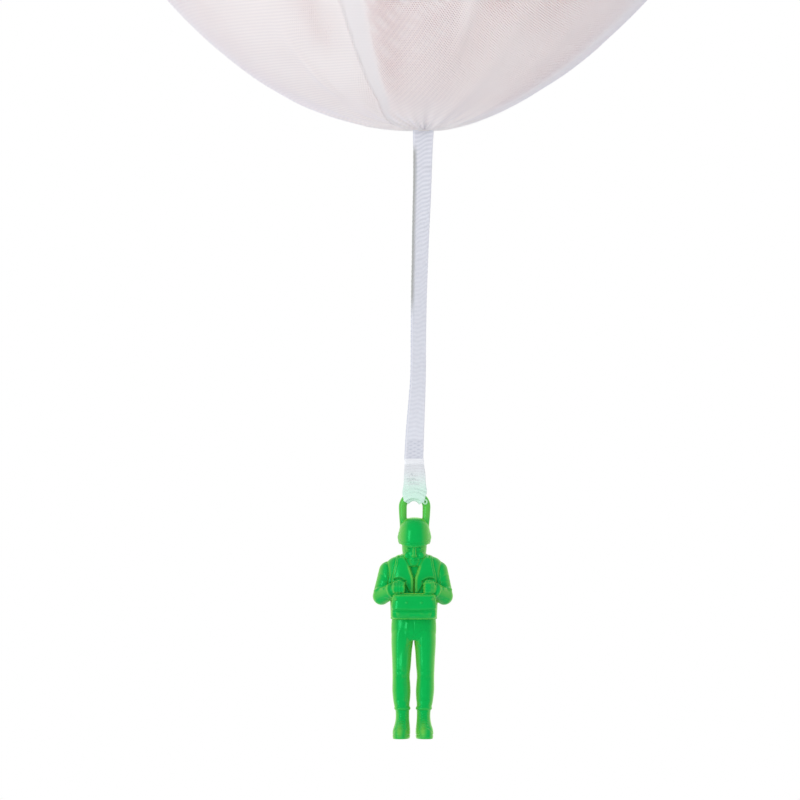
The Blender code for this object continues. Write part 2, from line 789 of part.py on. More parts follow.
clear_scene()
parts = new_collection("toy_parachute")
joining = new_collection("joining_pieces")
joining.hide_render = True
nylon = new_material("coral_nylon", (0.87, 0.10, 0.06), 0.45)
binding = new_material("coral_binding", (0.78, 0.08, 0.05), 0.6)
net = new_material("white_net", (0.86, 0.85, 0.87), 0.7, 0.5)
tape = new_material("white_tape", (0.80, 0.81, 0.86), 0.65)
plastic = new_material("green_plastic", (0.01, 0.42, 0.07), 0.3)

make_crown_patch(parts, nylon)
for gore in range(GORES):
    make_gore(gore, parts, nylon)
make_rim_binding(parts, binding)
for panel in range(NET_PANELS):
    make_net_panel(panel, parts, net)
make_gather(parts, net)
make_ribbon(parts, tape)
make_ribbon_fold(parts, joining, tape)
make_parachutist(parts, plastic)
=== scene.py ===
from math import cos, exp, pi, radians, sin, sqrt

import bmesh
import bpy
import numpy as np
from mathutils import Matrix, Vector, noise


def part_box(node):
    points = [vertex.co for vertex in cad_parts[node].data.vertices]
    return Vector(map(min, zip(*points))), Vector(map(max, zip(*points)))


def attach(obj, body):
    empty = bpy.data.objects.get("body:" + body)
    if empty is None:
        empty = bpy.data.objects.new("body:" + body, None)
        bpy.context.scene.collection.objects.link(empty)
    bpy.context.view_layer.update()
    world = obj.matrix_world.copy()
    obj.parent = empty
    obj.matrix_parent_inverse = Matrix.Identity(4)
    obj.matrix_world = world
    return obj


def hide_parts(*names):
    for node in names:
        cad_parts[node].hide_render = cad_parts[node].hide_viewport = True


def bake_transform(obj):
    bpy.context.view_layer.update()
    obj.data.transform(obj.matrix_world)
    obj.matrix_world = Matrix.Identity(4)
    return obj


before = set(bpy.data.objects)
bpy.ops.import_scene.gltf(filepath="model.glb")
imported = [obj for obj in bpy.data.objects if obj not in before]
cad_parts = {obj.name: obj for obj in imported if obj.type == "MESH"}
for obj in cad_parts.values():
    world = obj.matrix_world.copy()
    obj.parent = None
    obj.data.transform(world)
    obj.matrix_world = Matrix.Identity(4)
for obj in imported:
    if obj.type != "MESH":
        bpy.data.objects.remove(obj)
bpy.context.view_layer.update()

# Stage: not part of the toy. A level camera far in front, as for a product picture, plain soft
# light from the left and all round, and a pale round floor under the boots.
view_width = 0.354
view_centre = Vector((-0.0031, 0, -0.3346))
camera_distance = 2.2
sensor_width = 36
camera_data = bpy.data.cameras.new("front_camera")
camera_data.sensor_width = sensor_width
camera_data.lens = sensor_width * camera_distance / view_width
camera_data.clip_start = 0.05
camera = bpy.data.objects.new("front_camera", camera_data)
camera.location = view_centre - Vector((0, camera_distance, 0))
camera.rotation_euler = (radians(90), 0, 0)
bpy.context.scene.collection.objects.link(camera)
bpy.context.scene.camera = camera
bpy.context.scene.view_settings.view_transform = "Standard"


def fill(tree, node, inputs):
    """Gives a node's inputs plain values, colours of three parts, or the sockets that feed them."""
    for name, value in inputs.items():
        socket = node.inputs[name]
        if isinstance(value, bpy.types.NodeSocket):
            tree.links.new(value, socket)
        elif socket.type == "RGBA":
            socket.default_value = (*value, 1)
        else:
            socket.default_value = value


def add_node(tree, kind, inputs=None, **settings):
    """A new node with its settings made and its inputs filled."""
    node = tree.nodes.new(kind)
    for name, value in settings.items():
        setattr(node, name, value)
    fill(tree, node, inputs or {})
    return node


def mix_shaders(tree, share, first, second):
    """From the first shader to the second as share goes from 0 to 1."""
    return add_node(tree, "ShaderNodeMixShader", {0: share, 1: first, 2: second}).outputs[0]


def smooth_range(tree, value, start, end, low=0.0, high=1.0):
    """Goes smoothly from low to high as a value goes from start to end."""
    limits = {"Value": value, "From Min": start, "From Max": end, "To Min": low, "To Max": high}
    node = add_node(tree, "ShaderNodeMapRange", limits, interpolation_type="SMOOTHSTEP")
    return node.outputs["Result"]


def studio_world(room_level):
    """White to the eye and in gloss, and a soft even room light on everything else."""
    world = bpy.data.worlds.new("studio")
    world.use_nodes = True
    bpy.context.scene.world = world
    tree = world.node_tree
    tree.nodes.clear()
    seen = add_node(tree, "ShaderNodeBackground", {"Color": (1, 1, 1)})
    room = add_node(tree, "ShaderNodeBackground", {"Color": (0.97, 0.98, 1), "Strength": room_level})
    path = add_node(tree, "ShaderNodeLightPath")
    mask = path.outputs["Is Camera Ray"]
    for kind in ("Is Glossy Ray", "Is Transmission Ray"):
        both = {0: mask, 1: path.outputs[kind]}
        mask = add_node(tree, "ShaderNodeMath", both, operation="MAXIMUM").outputs[0]
    light = mix_shaders(tree, mask, room.outputs[0], seen.outputs[0])
    add_node(tree, "ShaderNodeOutputWorld", {"Surface": light})


def soft_box(name, place, width, height, power, colour):
    """An area lamp that faces the toy's middle."""
    lamp = bpy.data.lights.new(name, "AREA")
    lamp.shape = "RECTANGLE"
    lamp.size = width
    lamp.size_y = height
    lamp.energy = power
    lamp.color = colour
    box = bpy.data.objects.new(name, lamp)
    box.location = place
    box.rotation_euler = (view_centre - Vector(place)).to_track_quat("-Z", "Y").to_euler()
    bpy.context.scene.collection.objects.link(box)


studio_world(room_level=0.90)
soft_box("key_light", (-1.2, -1.5, -0.2), 0.55, 0.9, 11, (1, 0.99, 0.975))
soft_box("top_light", (0.3, 0.5, 1.1), 0.8, 0.8, 4, (1, 1, 1))

floor_radius = 1.0
floor_drop = 0.12
floor_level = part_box("parachutist")[0].z - floor_drop
bm = bmesh.new()
bmesh.ops.create_circle(bm, cap_ends=True, segments=96, radius=floor_radius)
floor_mesh = bpy.data.meshes.new("floor")
bm.to_mesh(floor_mesh)
bm.free()
floor_mesh.transform(Matrix.Translation((0, 0, floor_level)))
floor = bpy.data.objects.new("floor", floor_mesh)
bpy.context.scene.collection.objects.link(floor)
floor_finish = bpy.data.materials.new("pale_floor")
floor_finish.use_nodes = True
tree = floor_finish.node_tree
place = add_node(tree, "ShaderNodeTexCoord").outputs["Object"]
flat = add_node(tree, "ShaderNodeVectorMath", {0: place, 1: (1, 1, 0)}, operation="MULTIPLY")
distance = add_node(tree, "ShaderNodeVectorMath", {0: flat.outputs[0]}, operation="LENGTH")
fade = smooth_range(tree, distance.outputs["Value"], floor_radius * 0.45, floor_radius * 0.98, 1, 0)
floor_looks = {"Base Color": (0.93, 0.93, 0.93), "Roughness": 0.9, "Specular IOR Level": 0.1}
fill(tree, tree.nodes["Principled BSDF"], {**floor_looks, "Alpha": fade})
floor_mesh.materials.append(floor_finish)

# Canopy gores: eight panels of thin coral ripstop nylon, cut to a point and sewn edge to edge
# into a dome. Each bellies out between its seams and puckers a little along them.
seam_gap = 0.0003
gore_count = 8
first_seam = radians(-9.6)
crown_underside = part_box("crown_patch")[0].z
dome_top = crown_underside - seam_gap
rim_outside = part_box("rim_binding")[1].x
binding_thickness = 0.0008
rim_radius = rim_outside - binding_thickness - seam_gap
rim_level = (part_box("rim_binding")[0].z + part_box("rim_binding")[1].z) / 2
dome_height = dome_top - rim_level
gore_bulge = 0.004
nylon_thickness = 0.00025
pucker_pitch = 0.0072
pucker_depth = 0.00042
pucker_reach = 0.009


def round_place(radius, turn, height):
    """A point at a radius from the canopy's axis, at a turn from the front."""
    return Vector((radius * sin(turn), -radius * cos(turn), height))


def dome_place(turn, slope, lift=0.0):
    """A point of the dome: slope 0 is the crown and a quarter turn is the rim."""
    radius = rim_radius * sin(slope) + lift * sin(slope)
    height = dome_top - dome_height * (1 - cos(slope)) + lift * cos(slope)
    return round_place(radius, turn, height)


dome_steps = 200
dome_run = [0.0]
for step in range(dome_steps):
    low_slope = pi / 2 * step / dome_steps
    high_slope = pi / 2 * (step + 1) / dome_steps
    dome_run.append(dome_run[-1] + (dome_place(0, high_slope) - dome_place(0, low_slope)).length)


def run_from_crown(slope):
    """Length of cloth from the crown down to a slope of the dome."""
    place = min(slope / (pi / 2), 1) * dome_steps
    whole = min(int(place), dome_steps - 1)
    return dome_run[whole] + (dome_run[whole + 1] - dome_run[whole]) * (place - whole)


def between_rows(rows, fine=5):
    """The rows of a table with smooth rows put in between them."""
    table = np.array(rows, float)
    last = len(table) - 1
    result = []
    for k in range(last):
        before, low, high, after = (table[min(max(k + s, 0), last)] for s in (-1, 0, 1, 2))
        for step in range(fine):
            t = step / fine
            bend = 2 * before - 5 * low + 4 * high - after
            turn_back = 3 * low - before - 3 * high + after
            result.append(low + 0.5 * ((high - before) * t + bend * t**2 + turn_back * t**3))
    result.append(table[-1])
    return result


def map_cut(mesh, cut):
    """Gives the mesh the UV map "cut": each point's place in the flat cloth, in metres."""
    corners = np.empty(len(mesh.loops), int)
    mesh.loops.foreach_get("vertex_index", corners)
    layer = mesh.uv_layers.new(name="cut")
    layer.data.foreach_set("uv", np.array(cut, np.float32)[corners].ravel())


def weld(mesh, distance):
    """Joins points that lie within a distance, such as the two ends of a closed sheet."""
    bm = bmesh.new()
    bm.from_mesh(mesh)
    bmesh.ops.remove_doubles(bm, verts=bm.verts, dist=distance)
    bm.to_mesh(mesh)
    bm.free()


def cloth_grid(name, columns, rows, place_at, cut_at, inside_out=False):
    """A sheet through place_at(u, v); its UV map is the flat cut in metres, from cut_at(u, v)."""
    shares = [(i / columns, j / rows) for j in range(rows + 1) for i in range(columns + 1)]
    faces = []
    for j in range(rows):
        for i in range(columns):
            corner = j * (columns + 1) + i
            face = (corner, corner + 1, corner + columns + 2, corner + columns + 1)
            faces.append(face[::-1] if inside_out else face)
    mesh = bpy.data.meshes.new(name)
    mesh.from_pydata([place_at(u, v) for u, v in shares], [], faces)
    map_cut(mesh, [cut_at(u, v) for u, v in shares])
    mesh.shade_smooth()
    return mesh


def show(name, mesh, finish):
    """A piece whose place is in its mesh."""
    piece = bpy.data.objects.new(name, mesh)
    mesh.materials.clear()
    mesh.materials.append(finish)
    bpy.context.scene.collection.objects.link(piece)
    return piece


def settle(piece):
    """The piece's modifiers are worked into its mesh."""
    graph = bpy.context.evaluated_depsgraph_get()
    mesh = bpy.data.meshes.new_from_object(piece.evaluated_get(graph), depsgraph=graph)
    piece.modifiers.clear()
    piece.data = mesh
    return piece


def thicken(piece, thickness, offset=-1.0):
    solidify = piece.modifiers.new("thickness", "SOLIDIFY")
    solidify.thickness = thickness
    solidify.offset = offset
    solidify.use_even_offset = False
    return settle(piece)


def finish_tree(name):
    """A new material's node tree, its Principled node, and its output."""
    material = bpy.data.materials.new(name)
    material.use_nodes = True
    tree = material.node_tree
    return material, tree, tree.nodes["Principled BSDF"], tree.nodes["Material Output"]


def sum_of(tree, operation, first, second=0.0, third=None):
    """A Math node on sockets or plain numbers."""
    values = (first, second) if third is None else (first, second, third)
    return add_node(tree, "ShaderNodeMath", dict(enumerate(values)), operation=operation).outputs[0]


def waves(tree, way, pitch):
    """A sine wave from -1 to 1 with a pitch in metres along a coordinate."""
    return sum_of(tree, "SINE", sum_of(tree, "MULTIPLY", way, 2 * pi / pitch))


def blend_colours(tree, share, first, second):
    """A colour that goes from first to second as share goes from 0 to 1."""
    values = {"Factor": share, "A": first, "B": second}
    return add_node(tree, "ShaderNodeMix", values, data_type="RGBA").outputs["Result"]


def noted(tree, name):
    """A value that was noted on the points of the mesh."""
    return add_node(tree, "ShaderNodeAttribute", attribute_name=name).outputs["Fac"]


def thread_lines(tree, across, pitch, share):
    """1 on the threads that run at a pitch across a coordinate in metres, and 0 between them."""
    part = sum_of(tree, "FRACT", sum_of(tree, "DIVIDE", across, pitch))
    off_centre = sum_of(tree, "ABSOLUTE", sum_of(tree, "SUBTRACT", part, 0.5))
    half = share / 2 if isinstance(share, float) else sum_of(tree, "MULTIPLY", share, 0.5)
    return sum_of(tree, "LESS_THAN", off_centre, half)


def cut_axes(tree, turn=0.0):
    """The two coordinates of the flat cut, in metres, turned by an angle, and both as a vector."""
    flat = add_node(tree, "ShaderNodeUVMap", uv_map="cut").outputs[0]
    turned = add_node(tree, "ShaderNodeMapping", {"Vector": flat, "Rotation": (0, 0, turn)}).outputs[0]
    parts = add_node(tree, "ShaderNodeSeparateXYZ", {0: turned})
    return parts.outputs["X"], parts.outputs["Y"], turned


def mottle(tree, vector, scale, detail=3.0):
    """Soft noise from 0 to 1 over a vector in metres; scale is in cycles per metre."""
    values = {"Vector": vector, "Scale": scale, "Detail": detail}
    return add_node(tree, "ShaderNodeTexNoise", values).outputs["Fac"]


def raise_by(tree, shader, height, distance):
    """Bump of a real depth in metres."""
    values = {"Height": height, "Strength": 1, "Distance": distance}
    normal = add_node(tree, "ShaderNodeBump", values).outputs[0]
    fill(tree, shader, {"Normal": normal})
    return normal


def let_light_through(tree, shader, output, colour, share, normal=None):
    """Mixes a Translucent shader in, for cloth so thin that light shows through it."""
    values = {"Color": colour} if normal is None else {"Color": colour, "Normal": normal}
    through = add_node(tree, "ShaderNodeBsdfTranslucent", values)
    cloth = mix_shaders(tree, share, shader.outputs[0], through.outputs[0])
    fill(tree, output, {"Surface": cloth})
    return cloth


def coral_nylon():
    """Ripstop: fine plain weave with a stronger thread every 5 mm each way."""
    rip_pitch = 0.005
    rip_share = 0.07
    weave_pitch = 0.0005
    material, tree, shader, output = finish_tree("coral_ripstop_nylon")
    *ways, cut = cut_axes(tree)
    ribs = sum_of(tree, "MAXIMUM", *(thread_lines(tree, way, rip_pitch, rip_share) for way in ways))
    weave = sum_of(tree, "MULTIPLY", *(waves(tree, way, weave_pitch) for way in ways))
    plain = blend_colours(tree, mottle(tree, cut, 45), (0.80, 0.065, 0.045), (0.90, 0.105, 0.065))
    colour = blend_colours(tree, ribs, plain, (0.74, 0.055, 0.04))
    looks = {"Roughness": 0.48, "Specular IOR Level": 0.35, "Sheen Weight": 0.15}
    fill(tree, shader, {"Base Color": colour, **looks})
    height = sum_of(tree, "ADD", ribs, sum_of(tree, "MULTIPLY", weave, 0.15))
    normal = raise_by(tree, shader, height, 0.00008)
    let_light_through(tree, shader, output, colour, 0.45, normal)
    return material


nylon = coral_nylon()
half_gore = pi / gore_count
first_slope = 0.02
drape_height = 0.0005


def make_gore(number):
    columns = 36
    rows = 90
    middle = first_seam + half_gore * (2 * number + 1)
    pucker_start = 1.7 * number

    def slope_at(v):
        return pi / 2 + (first_slope - pi / 2) * v

    def place_at(u, v):
        slope = slope_at(v)
        side = 2 * u - 1
        base_radius = rim_radius * sin(slope)
        run = run_from_crown(slope)
        from_seam = base_radius * half_gore * (1 - abs(side))
        pucker = pucker_depth * cos(2 * pi * run / pucker_pitch + pucker_start + side)
        pucker = pucker * exp(-from_seam / pucker_reach) * min(run / 0.03, 1)
        drape = sin(run * 95 + number * 2.1) * cos(side * 2.2 + number) * sin(2 * slope)
        bulge = gore_bulge * sin(2 * slope) ** 2 * (1 - side**2)
        lift = bulge + pucker + drape_height * drape
        return dome_place(middle + half_gore * side, slope, lift)

    def cut_at(u, v):
        slope = slope_at(v)
        return rim_radius * sin(slope) * half_gore * (2 * u - 1), run_from_crown(slope)

    name = f"gore_cloth_{number + 1}"
    gore = show(name, cloth_grid(name, columns, rows, place_at, cut_at), nylon)
    thicken(gore, nylon_thickness)
    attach(gore, "canopy")
    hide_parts(f"canopy_gore_{number + 1}")


for number in range(gore_count):
    make_gore(number)

# Gore seams: strips of the same nylon felled over the eight joins, from the crown patch down to
# the rim, each held by two rows of stitches.
seam_width = 0.0048
seam_height = 0.00042
stitch_pitch = 0.0030
stitch_length = 0.0022
thread_width = 0.00045
seam_rows = 130
seam_columns = 6


def seam_tape_colour(name, pale, dark, pitch):
    """Narrow woven tape or a felled seam: ribs across it, and a firm edge."""
    material, tree, shader, output = finish_tree(name)
    _, along, cut = cut_axes(tree)
    ribs = sum_of(tree, "MULTIPLY_ADD", waves(tree, along, pitch), 0.5, 0.5)
    share = sum_of(tree, "MULTIPLY", ribs, mottle(tree, cut, 300))
    colour = blend_colours(tree, share, dark, pale)
    looks = {"Roughness": 0.62, "Specular IOR Level": 0.3, "Sheen Weight": 0.2}
    fill(tree, shader, {"Base Color": colour, **looks})
    normal = raise_by(tree, shader, ribs, 0.00006)
    let_light_through(tree, shader, output, colour, 0.15, normal)
    return material


coral_tape = seam_tape_colour("coral_seam", (0.80, 0.07, 0.045), (0.62, 0.04, 0.03), 0.0007)


def stitch_tree():
    """Stitches along curves: short rounded threads set end to end, as real meshes."""
    tree = bpy.data.node_groups.new("stitches", "GeometryNodeTree")
    numbers = [(name, "Float") for name in ("Pitch", "Length", "Thread")]
    for name, kind in [("Seam", "Geometry"), *numbers, ("Finish", "Material")]:
        tree.interface.new_socket(name, in_out="INPUT", socket_type="NodeSocket" + kind)
    tree.interface.new_socket("Stitches", in_out="OUTPUT", socket_type="NodeSocketGeometry")
    given = add_node(tree, "NodeGroupInput").outputs
    spacing = {"Curve": given["Seam"], "Length": given["Pitch"]}
    spaced = add_node(tree, "GeometryNodeResampleCurve", spacing, mode="LENGTH")
    bead = add_node(tree, "GeometryNodeMeshUVSphere", {"Radius": 0.5, "Segments": 6, "Rings": 5})
    sides = {"X": given["Thread"], "Y": given["Thread"], "Z": given["Length"]}
    size = add_node(tree, "ShaderNodeCombineXYZ", sides)
    heading = add_node(tree, "GeometryNodeInputTangent").outputs["Tangent"]
    aim = add_node(tree, "FunctionNodeAlignRotationToVector", {"Vector": heading}, axis="Z")
    lie = {"Rotation": aim.outputs["Rotation"], "Scale": size.outputs[0]}
    beads = {"Points": spaced.outputs["Curve"], "Instance": bead.outputs["Mesh"]}
    put = add_node(tree, "GeometryNodeInstanceOnPoints", {**beads, **lie})
    made = put.outputs["Instances"]
    for kind, more in (
        ("GeometryNodeRealizeInstances", {}),
        ("GeometryNodeSetShadeSmooth", {}),
        ("GeometryNodeSetMaterial", {"Material": given["Finish"]}),
    ):
        made = add_node(tree, kind, {"Geometry": made, **more}).outputs["Geometry"]
    add_node(tree, "NodeGroupOutput", {"Stitches": made})
    return tree


stitches = stitch_tree()


def set_inputs(modifier, values):
    """Sets a Geometry Nodes modifier's inputs by the names of its tree's sockets."""
    for item in modifier.node_group.interface.items_tree:
        if item.in_out == "INPUT" and item.name in values:
            modifier[item.identifier] = values[item.name]


def lines_through(name, paths, closed=False):
    """A curve with one straight-sided line through each path of points."""
    curve = bpy.data.curves.new(name, "CURVE")
    curve.dimensions = "3D"
    for path in paths:
        spline = curve.splines.new("POLY")
        spline.points.add(len(path) - 1)
        spline.use_cyclic_u = closed
        for slot, point in zip(spline.points, path):
            slot.co = (*point, 1)
    lines = bpy.data.objects.new(name, curve)
    bpy.context.scene.collection.objects.link(lines)
    return lines


def mesh_from(lines):
    """The mesh that a curve makes; the curve itself goes."""
    curve = lines.data
    bpy.context.view_layer.update()
    graph = bpy.context.evaluated_depsgraph_get()
    mesh = bpy.data.meshes.new_from_object(lines.evaluated_get(graph), depsgraph=graph)
    bpy.data.objects.remove(lines, do_unlink=True)
    bpy.data.curves.remove(curve)
    return mesh


def sewn(name, paths, pitch, length, thread, finish, body=None):
    """Rows of stitches along paths of points, as one piece that rides on a body, if one is given."""
    lines = lines_through(name + "_lines", paths)
    modifier = lines.modifiers.new("stitches", "NODES")
    modifier.node_group = stitches
    values = {"Pitch": pitch, "Length": length, "Thread": thread, "Finish": finish}
    set_inputs(modifier, values)
    mesh = mesh_from(lines)
    mesh.name = name
    piece = show(name, mesh, finish)
    if body:
        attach(piece, body)
    return piece


def thread_finish(name, colour):
    """Spun polyester thread, with its twist as a fine slanting rib."""
    material, tree, shader, output = finish_tree(name)
    place = add_node(tree, "ShaderNodeTexCoord").outputs["Object"]
    ribs = {"Vector": place, "Scale": 900, "Distortion": 1.5}
    twist = add_node(tree, "ShaderNodeTexWave", ribs).outputs["Fac"]
    shade = tuple(part * 0.72 for part in colour)
    looks = {"Roughness": 0.55, "Sheen Weight": 0.2}
    fill(tree, shader, {"Base Color": blend_colours(tree, twist, shade, colour), **looks})
    raise_by(tree, shader, twist, 0.00004)
    return material


coral_thread = thread_finish("coral_thread", (0.90, 0.14, 0.09))


def seam_slope(v):
    top_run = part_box("crown_patch")[1].x * 0.8
    top_slope = top_run / rim_radius
    return top_slope + (pi / 2 - top_slope) * v


def make_seam(number):
    turn = first_seam + 2 * half_gore * number

    def place_at(u, v):
        slope = seam_slope(v)
        radius = rim_radius * sin(slope)
        side = 2 * u - 1
        shoulder = seam_height * (1 - side**4)
        ripple = 0.00012 * cos(2 * pi * run_from_crown(slope) / pucker_pitch)
        across = side * seam_width / 2
        sag = pucker_depth * 0.5
        return dome_place(turn + across / radius, slope, shoulder + ripple + sag)

    def cut_at(u, v):
        return (2 * u - 1) * seam_width / 2, run_from_crown(seam_slope(v))

    name = f"seam_{number}"
    return cloth_grid(name, seam_columns, seam_rows, place_at, cut_at, inside_out=True)


def joined(name, meshes):
    """Several meshes as one, with their UV maps."""
    bm = bmesh.new()
    for mesh in meshes:
        bm.from_mesh(mesh)
        bpy.data.meshes.remove(mesh)
    mesh = bpy.data.meshes.new(name)
    bm.to_mesh(mesh)
    bm.free()
    mesh.shade_smooth()
    return mesh


seam_strips = joined("gore_seams", [make_seam(k) for k in range(gore_count)])
seams = show("gore_seams", seam_strips, coral_tape)
thicken(seams, seam_height * 1.6)
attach(seams, "canopy")
seam_paths = []
for number in range(gore_count):
    for side in (-1, 1):
        path = []
        for step in range(seam_rows + 1):
            slope = seam_slope(step / seam_rows)
            across = side * seam_width * 0.32 / (rim_radius * sin(slope))
            lift = seam_height + pucker_depth * 0.5 + thread_width * 0.15
            turn = first_seam + 2 * half_gore * number + across
            path.append(dome_place(turn, slope, lift))
        seam_paths.append(path)
plain_stitch = (stitch_pitch, stitch_length, thread_width, coral_thread, "canopy")
sewn("gore_stitches", seam_paths, *plain_stitch)

# Crown patch: a round of nylon sewn over the eight gore tips, with a turned edge and two rings of
# stitches. Its flat top is the highest point of the toy.
patch_low, patch_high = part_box("crown_patch")
patch_radius = patch_high.x
patch_steps = 96


def share_between(value, low, high):
    return min(max((value - low) / (high - low), 0), 1)


def patch_drop(v):
    """How far the patch has sunk below its flat top at a share of its radius."""
    return 0.0011 * v**4 + 0.0004 * share_between(v, 0.8, 1) ** 2


def make_crown_patch():
    rows = 24
    top = patch_high.z - 0.00035
    hem_height = 0.00022

    def place_at(u, v):
        hem = hem_height * sin(pi * share_between(v, 0.72, 1))
        return round_place(max(patch_radius * v, 0.00002), 2 * pi * u, top + hem - patch_drop(v))

    def cut_at(u, v):
        return patch_radius * v * sin(2 * pi * u), patch_radius * v * cos(2 * pi * u)

    mesh = cloth_grid("crown_patch_cloth", patch_steps, rows, place_at, cut_at, inside_out=True)
    weld(mesh, 0.00001)
    return mesh


patch = show("crown_patch_cloth", make_crown_patch(), nylon)
thicken(patch, 0.0004)
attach(patch, "canopy")
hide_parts("crown_patch")
ring_paths = []
for share in (0.80, 0.92):
    height = patch_high.z - patch_drop(share) - 0.0001
    turns = [2 * pi * step / patch_steps for step in range(patch_steps + 1)]
    ring_paths.append([round_place(patch_radius * share, turn, height) for turn in turns])
sewn("crown_stitches", ring_paths, 0.0024, 0.0018, thread_width, coral_thread, "canopy")

# Rim binding: a coral tape folded over the edge where nylon and net meet, sewn through both with
# one row of stitches near its fold on each side.
rim_low, rim_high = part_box("rim_binding")
binding_steps = 320
# The tape's section: how far out of its middle and how far up, as shares of its half sizes.
binding_profile = [
    (-0.55, 1), (1, 1), (1.25, 0.5), (1.25, -0.5),
    (1, -1), (-0.55, -1), (-1.0, -0.6), (-1.0, 0.6),
]


def binding_place(step, out, up):
    """A point of the binding's section, which waves a little on its way round the rim."""
    turn = 2 * pi * step / binding_steps
    wave = 0.00025 * sin(turn * 61) + 0.0002 * sin(turn * 37 + 1)
    radius = rim_radius + seam_gap / 2 + binding_thickness * out * 0.8 + wave
    half_height = (rim_high.z - rim_low.z) / 2
    return round_place(radius, turn, rim_level + half_height * up + 0.0003 * sin(turn * 23))


def outwards(mesh):
    """All faces of a closed mesh turned to look out."""
    bm = bmesh.new()
    bm.from_mesh(mesh)
    bmesh.ops.recalc_face_normals(bm, faces=bm.faces)
    bm.to_mesh(mesh)
    bm.free()
    mesh.shade_smooth()
    return mesh


def make_binding():
    corners = len(binding_profile)
    half_height = (rim_high.z - rim_low.z) / 2
    verts = [binding_place(step, *corner) for step in range(binding_steps) for corner in binding_profile]
    faces = []
    cuts = []
    for step in range(binding_steps):
        for index in range(corners):
            places = [(step + ahead, index + beside) for ahead, beside in ((0, 0), (1, 0), (1, 1), (0, 1))]
            faces.append([(k % binding_steps) * corners + side % corners for k, side in places])
            for k, side in places:
                cuts.append((half_height * side / 2, 2 * pi * rim_radius * k / binding_steps))
    mesh = bpy.data.meshes.new("rim_tape")
    mesh.from_pydata(verts, [], faces)
    layer = mesh.uv_layers.new(name="cut")
    layer.data.foreach_set("uv", np.array(cuts, np.float32).ravel())
    return outwards(mesh)


binding = show("rim_tape", make_binding(), coral_tape)
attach(binding, "canopy")
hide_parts("rim_binding")
rim_steps = range(binding_steps + 1)
rim_paths = [[binding_place(step, out, 0) for step in rim_steps] for out in (-1.05, 1.3)]
sewn("rim_stitches", rim_paths, *plain_stitch)

# Net skirt: four panels of soft white net in place of strings. They hang from the rim as a bowl.
# Each has a hem along one side, which its neighbour laps, and their folds run together at the tape.
panel_count = 4
net_seam = radians(-16.3)
hem_turn = radians(5.3)
net_thickness = 0.0002
gather_low, gather_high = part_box("net_gather")
exit_offset = (gather_low.x + gather_high.x) / 2
exit_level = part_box("ribbon")[1].z + seam_gap + 0.0008
skirt_depth = rim_level - exit_level
neck_radius = 0.0031
offset_reach = 0.060
bowl_curve = skirt_depth / rim_radius**2
net_edge_radius = rim_radius - 0.0006
turn_reach = 0.045
streak_end = 0.022
# Soft folds that run down the net: turn in degrees, half width in degrees, height, and the
# radii that a fold lies between.
soft_folds = [
    (-37.5, 2.4, 0.0009, 0.040, 0.100),
    (3.0, 3.2, 0.0005, 0.070, 0.147),
    (16.0, 2.2, 0.0007, 0.060, 0.147),
    (31.0, 5.0, 0.0006, 0.030, 0.130),
    (52.0, 4.0, 0.0004, 0.060, 0.120),
    (128.0, 3.5, 0.0008, 0.050, 0.140),
    (147.0, 5.0, 0.0008, 0.030, 0.120),
    (203.0, 3.0, 0.0009, 0.050, 0.140),
    (228.0, 4.5, 0.0008, 0.040, 0.125),
]
# Places where the net lies more open, so that more of the coral dome shows through, or closer:
# turn and half width in degrees, change of closeness, and the radii it lies between.
open_places = [
    (-25.5, 5.5, -0.50, 0.066, 0.160),
    (-0.5, 4.0, -0.42, 0.096, 0.160),
    (15.8, 2.2, 0.30, 0.074, 0.160),
    (23.0, 5.0, -0.45, 0.088, 0.160),
    (-14.0, 3.0, 0.25, 0.030, 0.160),
    (40.0, 6.0, -0.20, 0.080, 0.160),
    (-6.0, 5.0, -0.26, 0.040, 0.170),
    (84.0, 11.0, 0.50, 0.020, 0.170),
    (-86.0, 8.0, 0.40, 0.020, 0.170),
    (128.0, 7.0, -0.35, 0.070, 0.160),
    (196.0, 6.0, -0.40, 0.070, 0.160),
    (246.0, 7.0, -0.35, 0.070, 0.160),
]


def smooth_between(value, low, high):
    share = share_between(value, low, high)
    return share * share * (3 - 2 * share)


def streak(turn, radius, row):
    """How far a row of a table of streaks reaches a place of the net, with its sign and size."""
    centre, half, size, low, high = row
    apart = (np.degrees(turn) - centre + 180) % 360 - 180
    begun = smooth_between(radius, low, low + streak_end)
    ended = smooth_between(radius, high - streak_end, high)
    return size * exp(-((apart / half) ** 2)) * begun * (1 - ended)


def gathered(radius, peak, power):
    """1 at the radius where a gather is highest, and down to 0 inside and outside it."""
    reach = radius / peak
    return reach**power * exp(power * (1 - reach))


def net_folds(turn, radius):
    """How far the net stands out from the smooth bowl: swags, soft folds and gathered pleats."""
    body = smooth_between(radius, 0.008, 0.055) * (1 - smooth_between(radius, 0.118, 0.147))
    swags = 0.0005 * sin(5 * turn + 0.6) + 0.0004 * sin(8 * turn + 2.0 + 60 * radius)
    swags *= cos(turn) ** 2
    gathers = 0.00045 * gathered(radius, 0.024, 2) * cos(12 * turn + 0.4 * sin(3 * turn))
    pleats = 0.0004 * gathered(radius, 0.012, 1.5) * cos(37 * turn + sin(5 * turn))
    crumple = 0.0003 * noise.noise(Vector((cos(turn), sin(turn), radius * 30)) * 3.1)
    folds = sum(streak(turn, radius, row) for row in soft_folds)
    return (swags + crumple) * body + gathers + pleats + folds


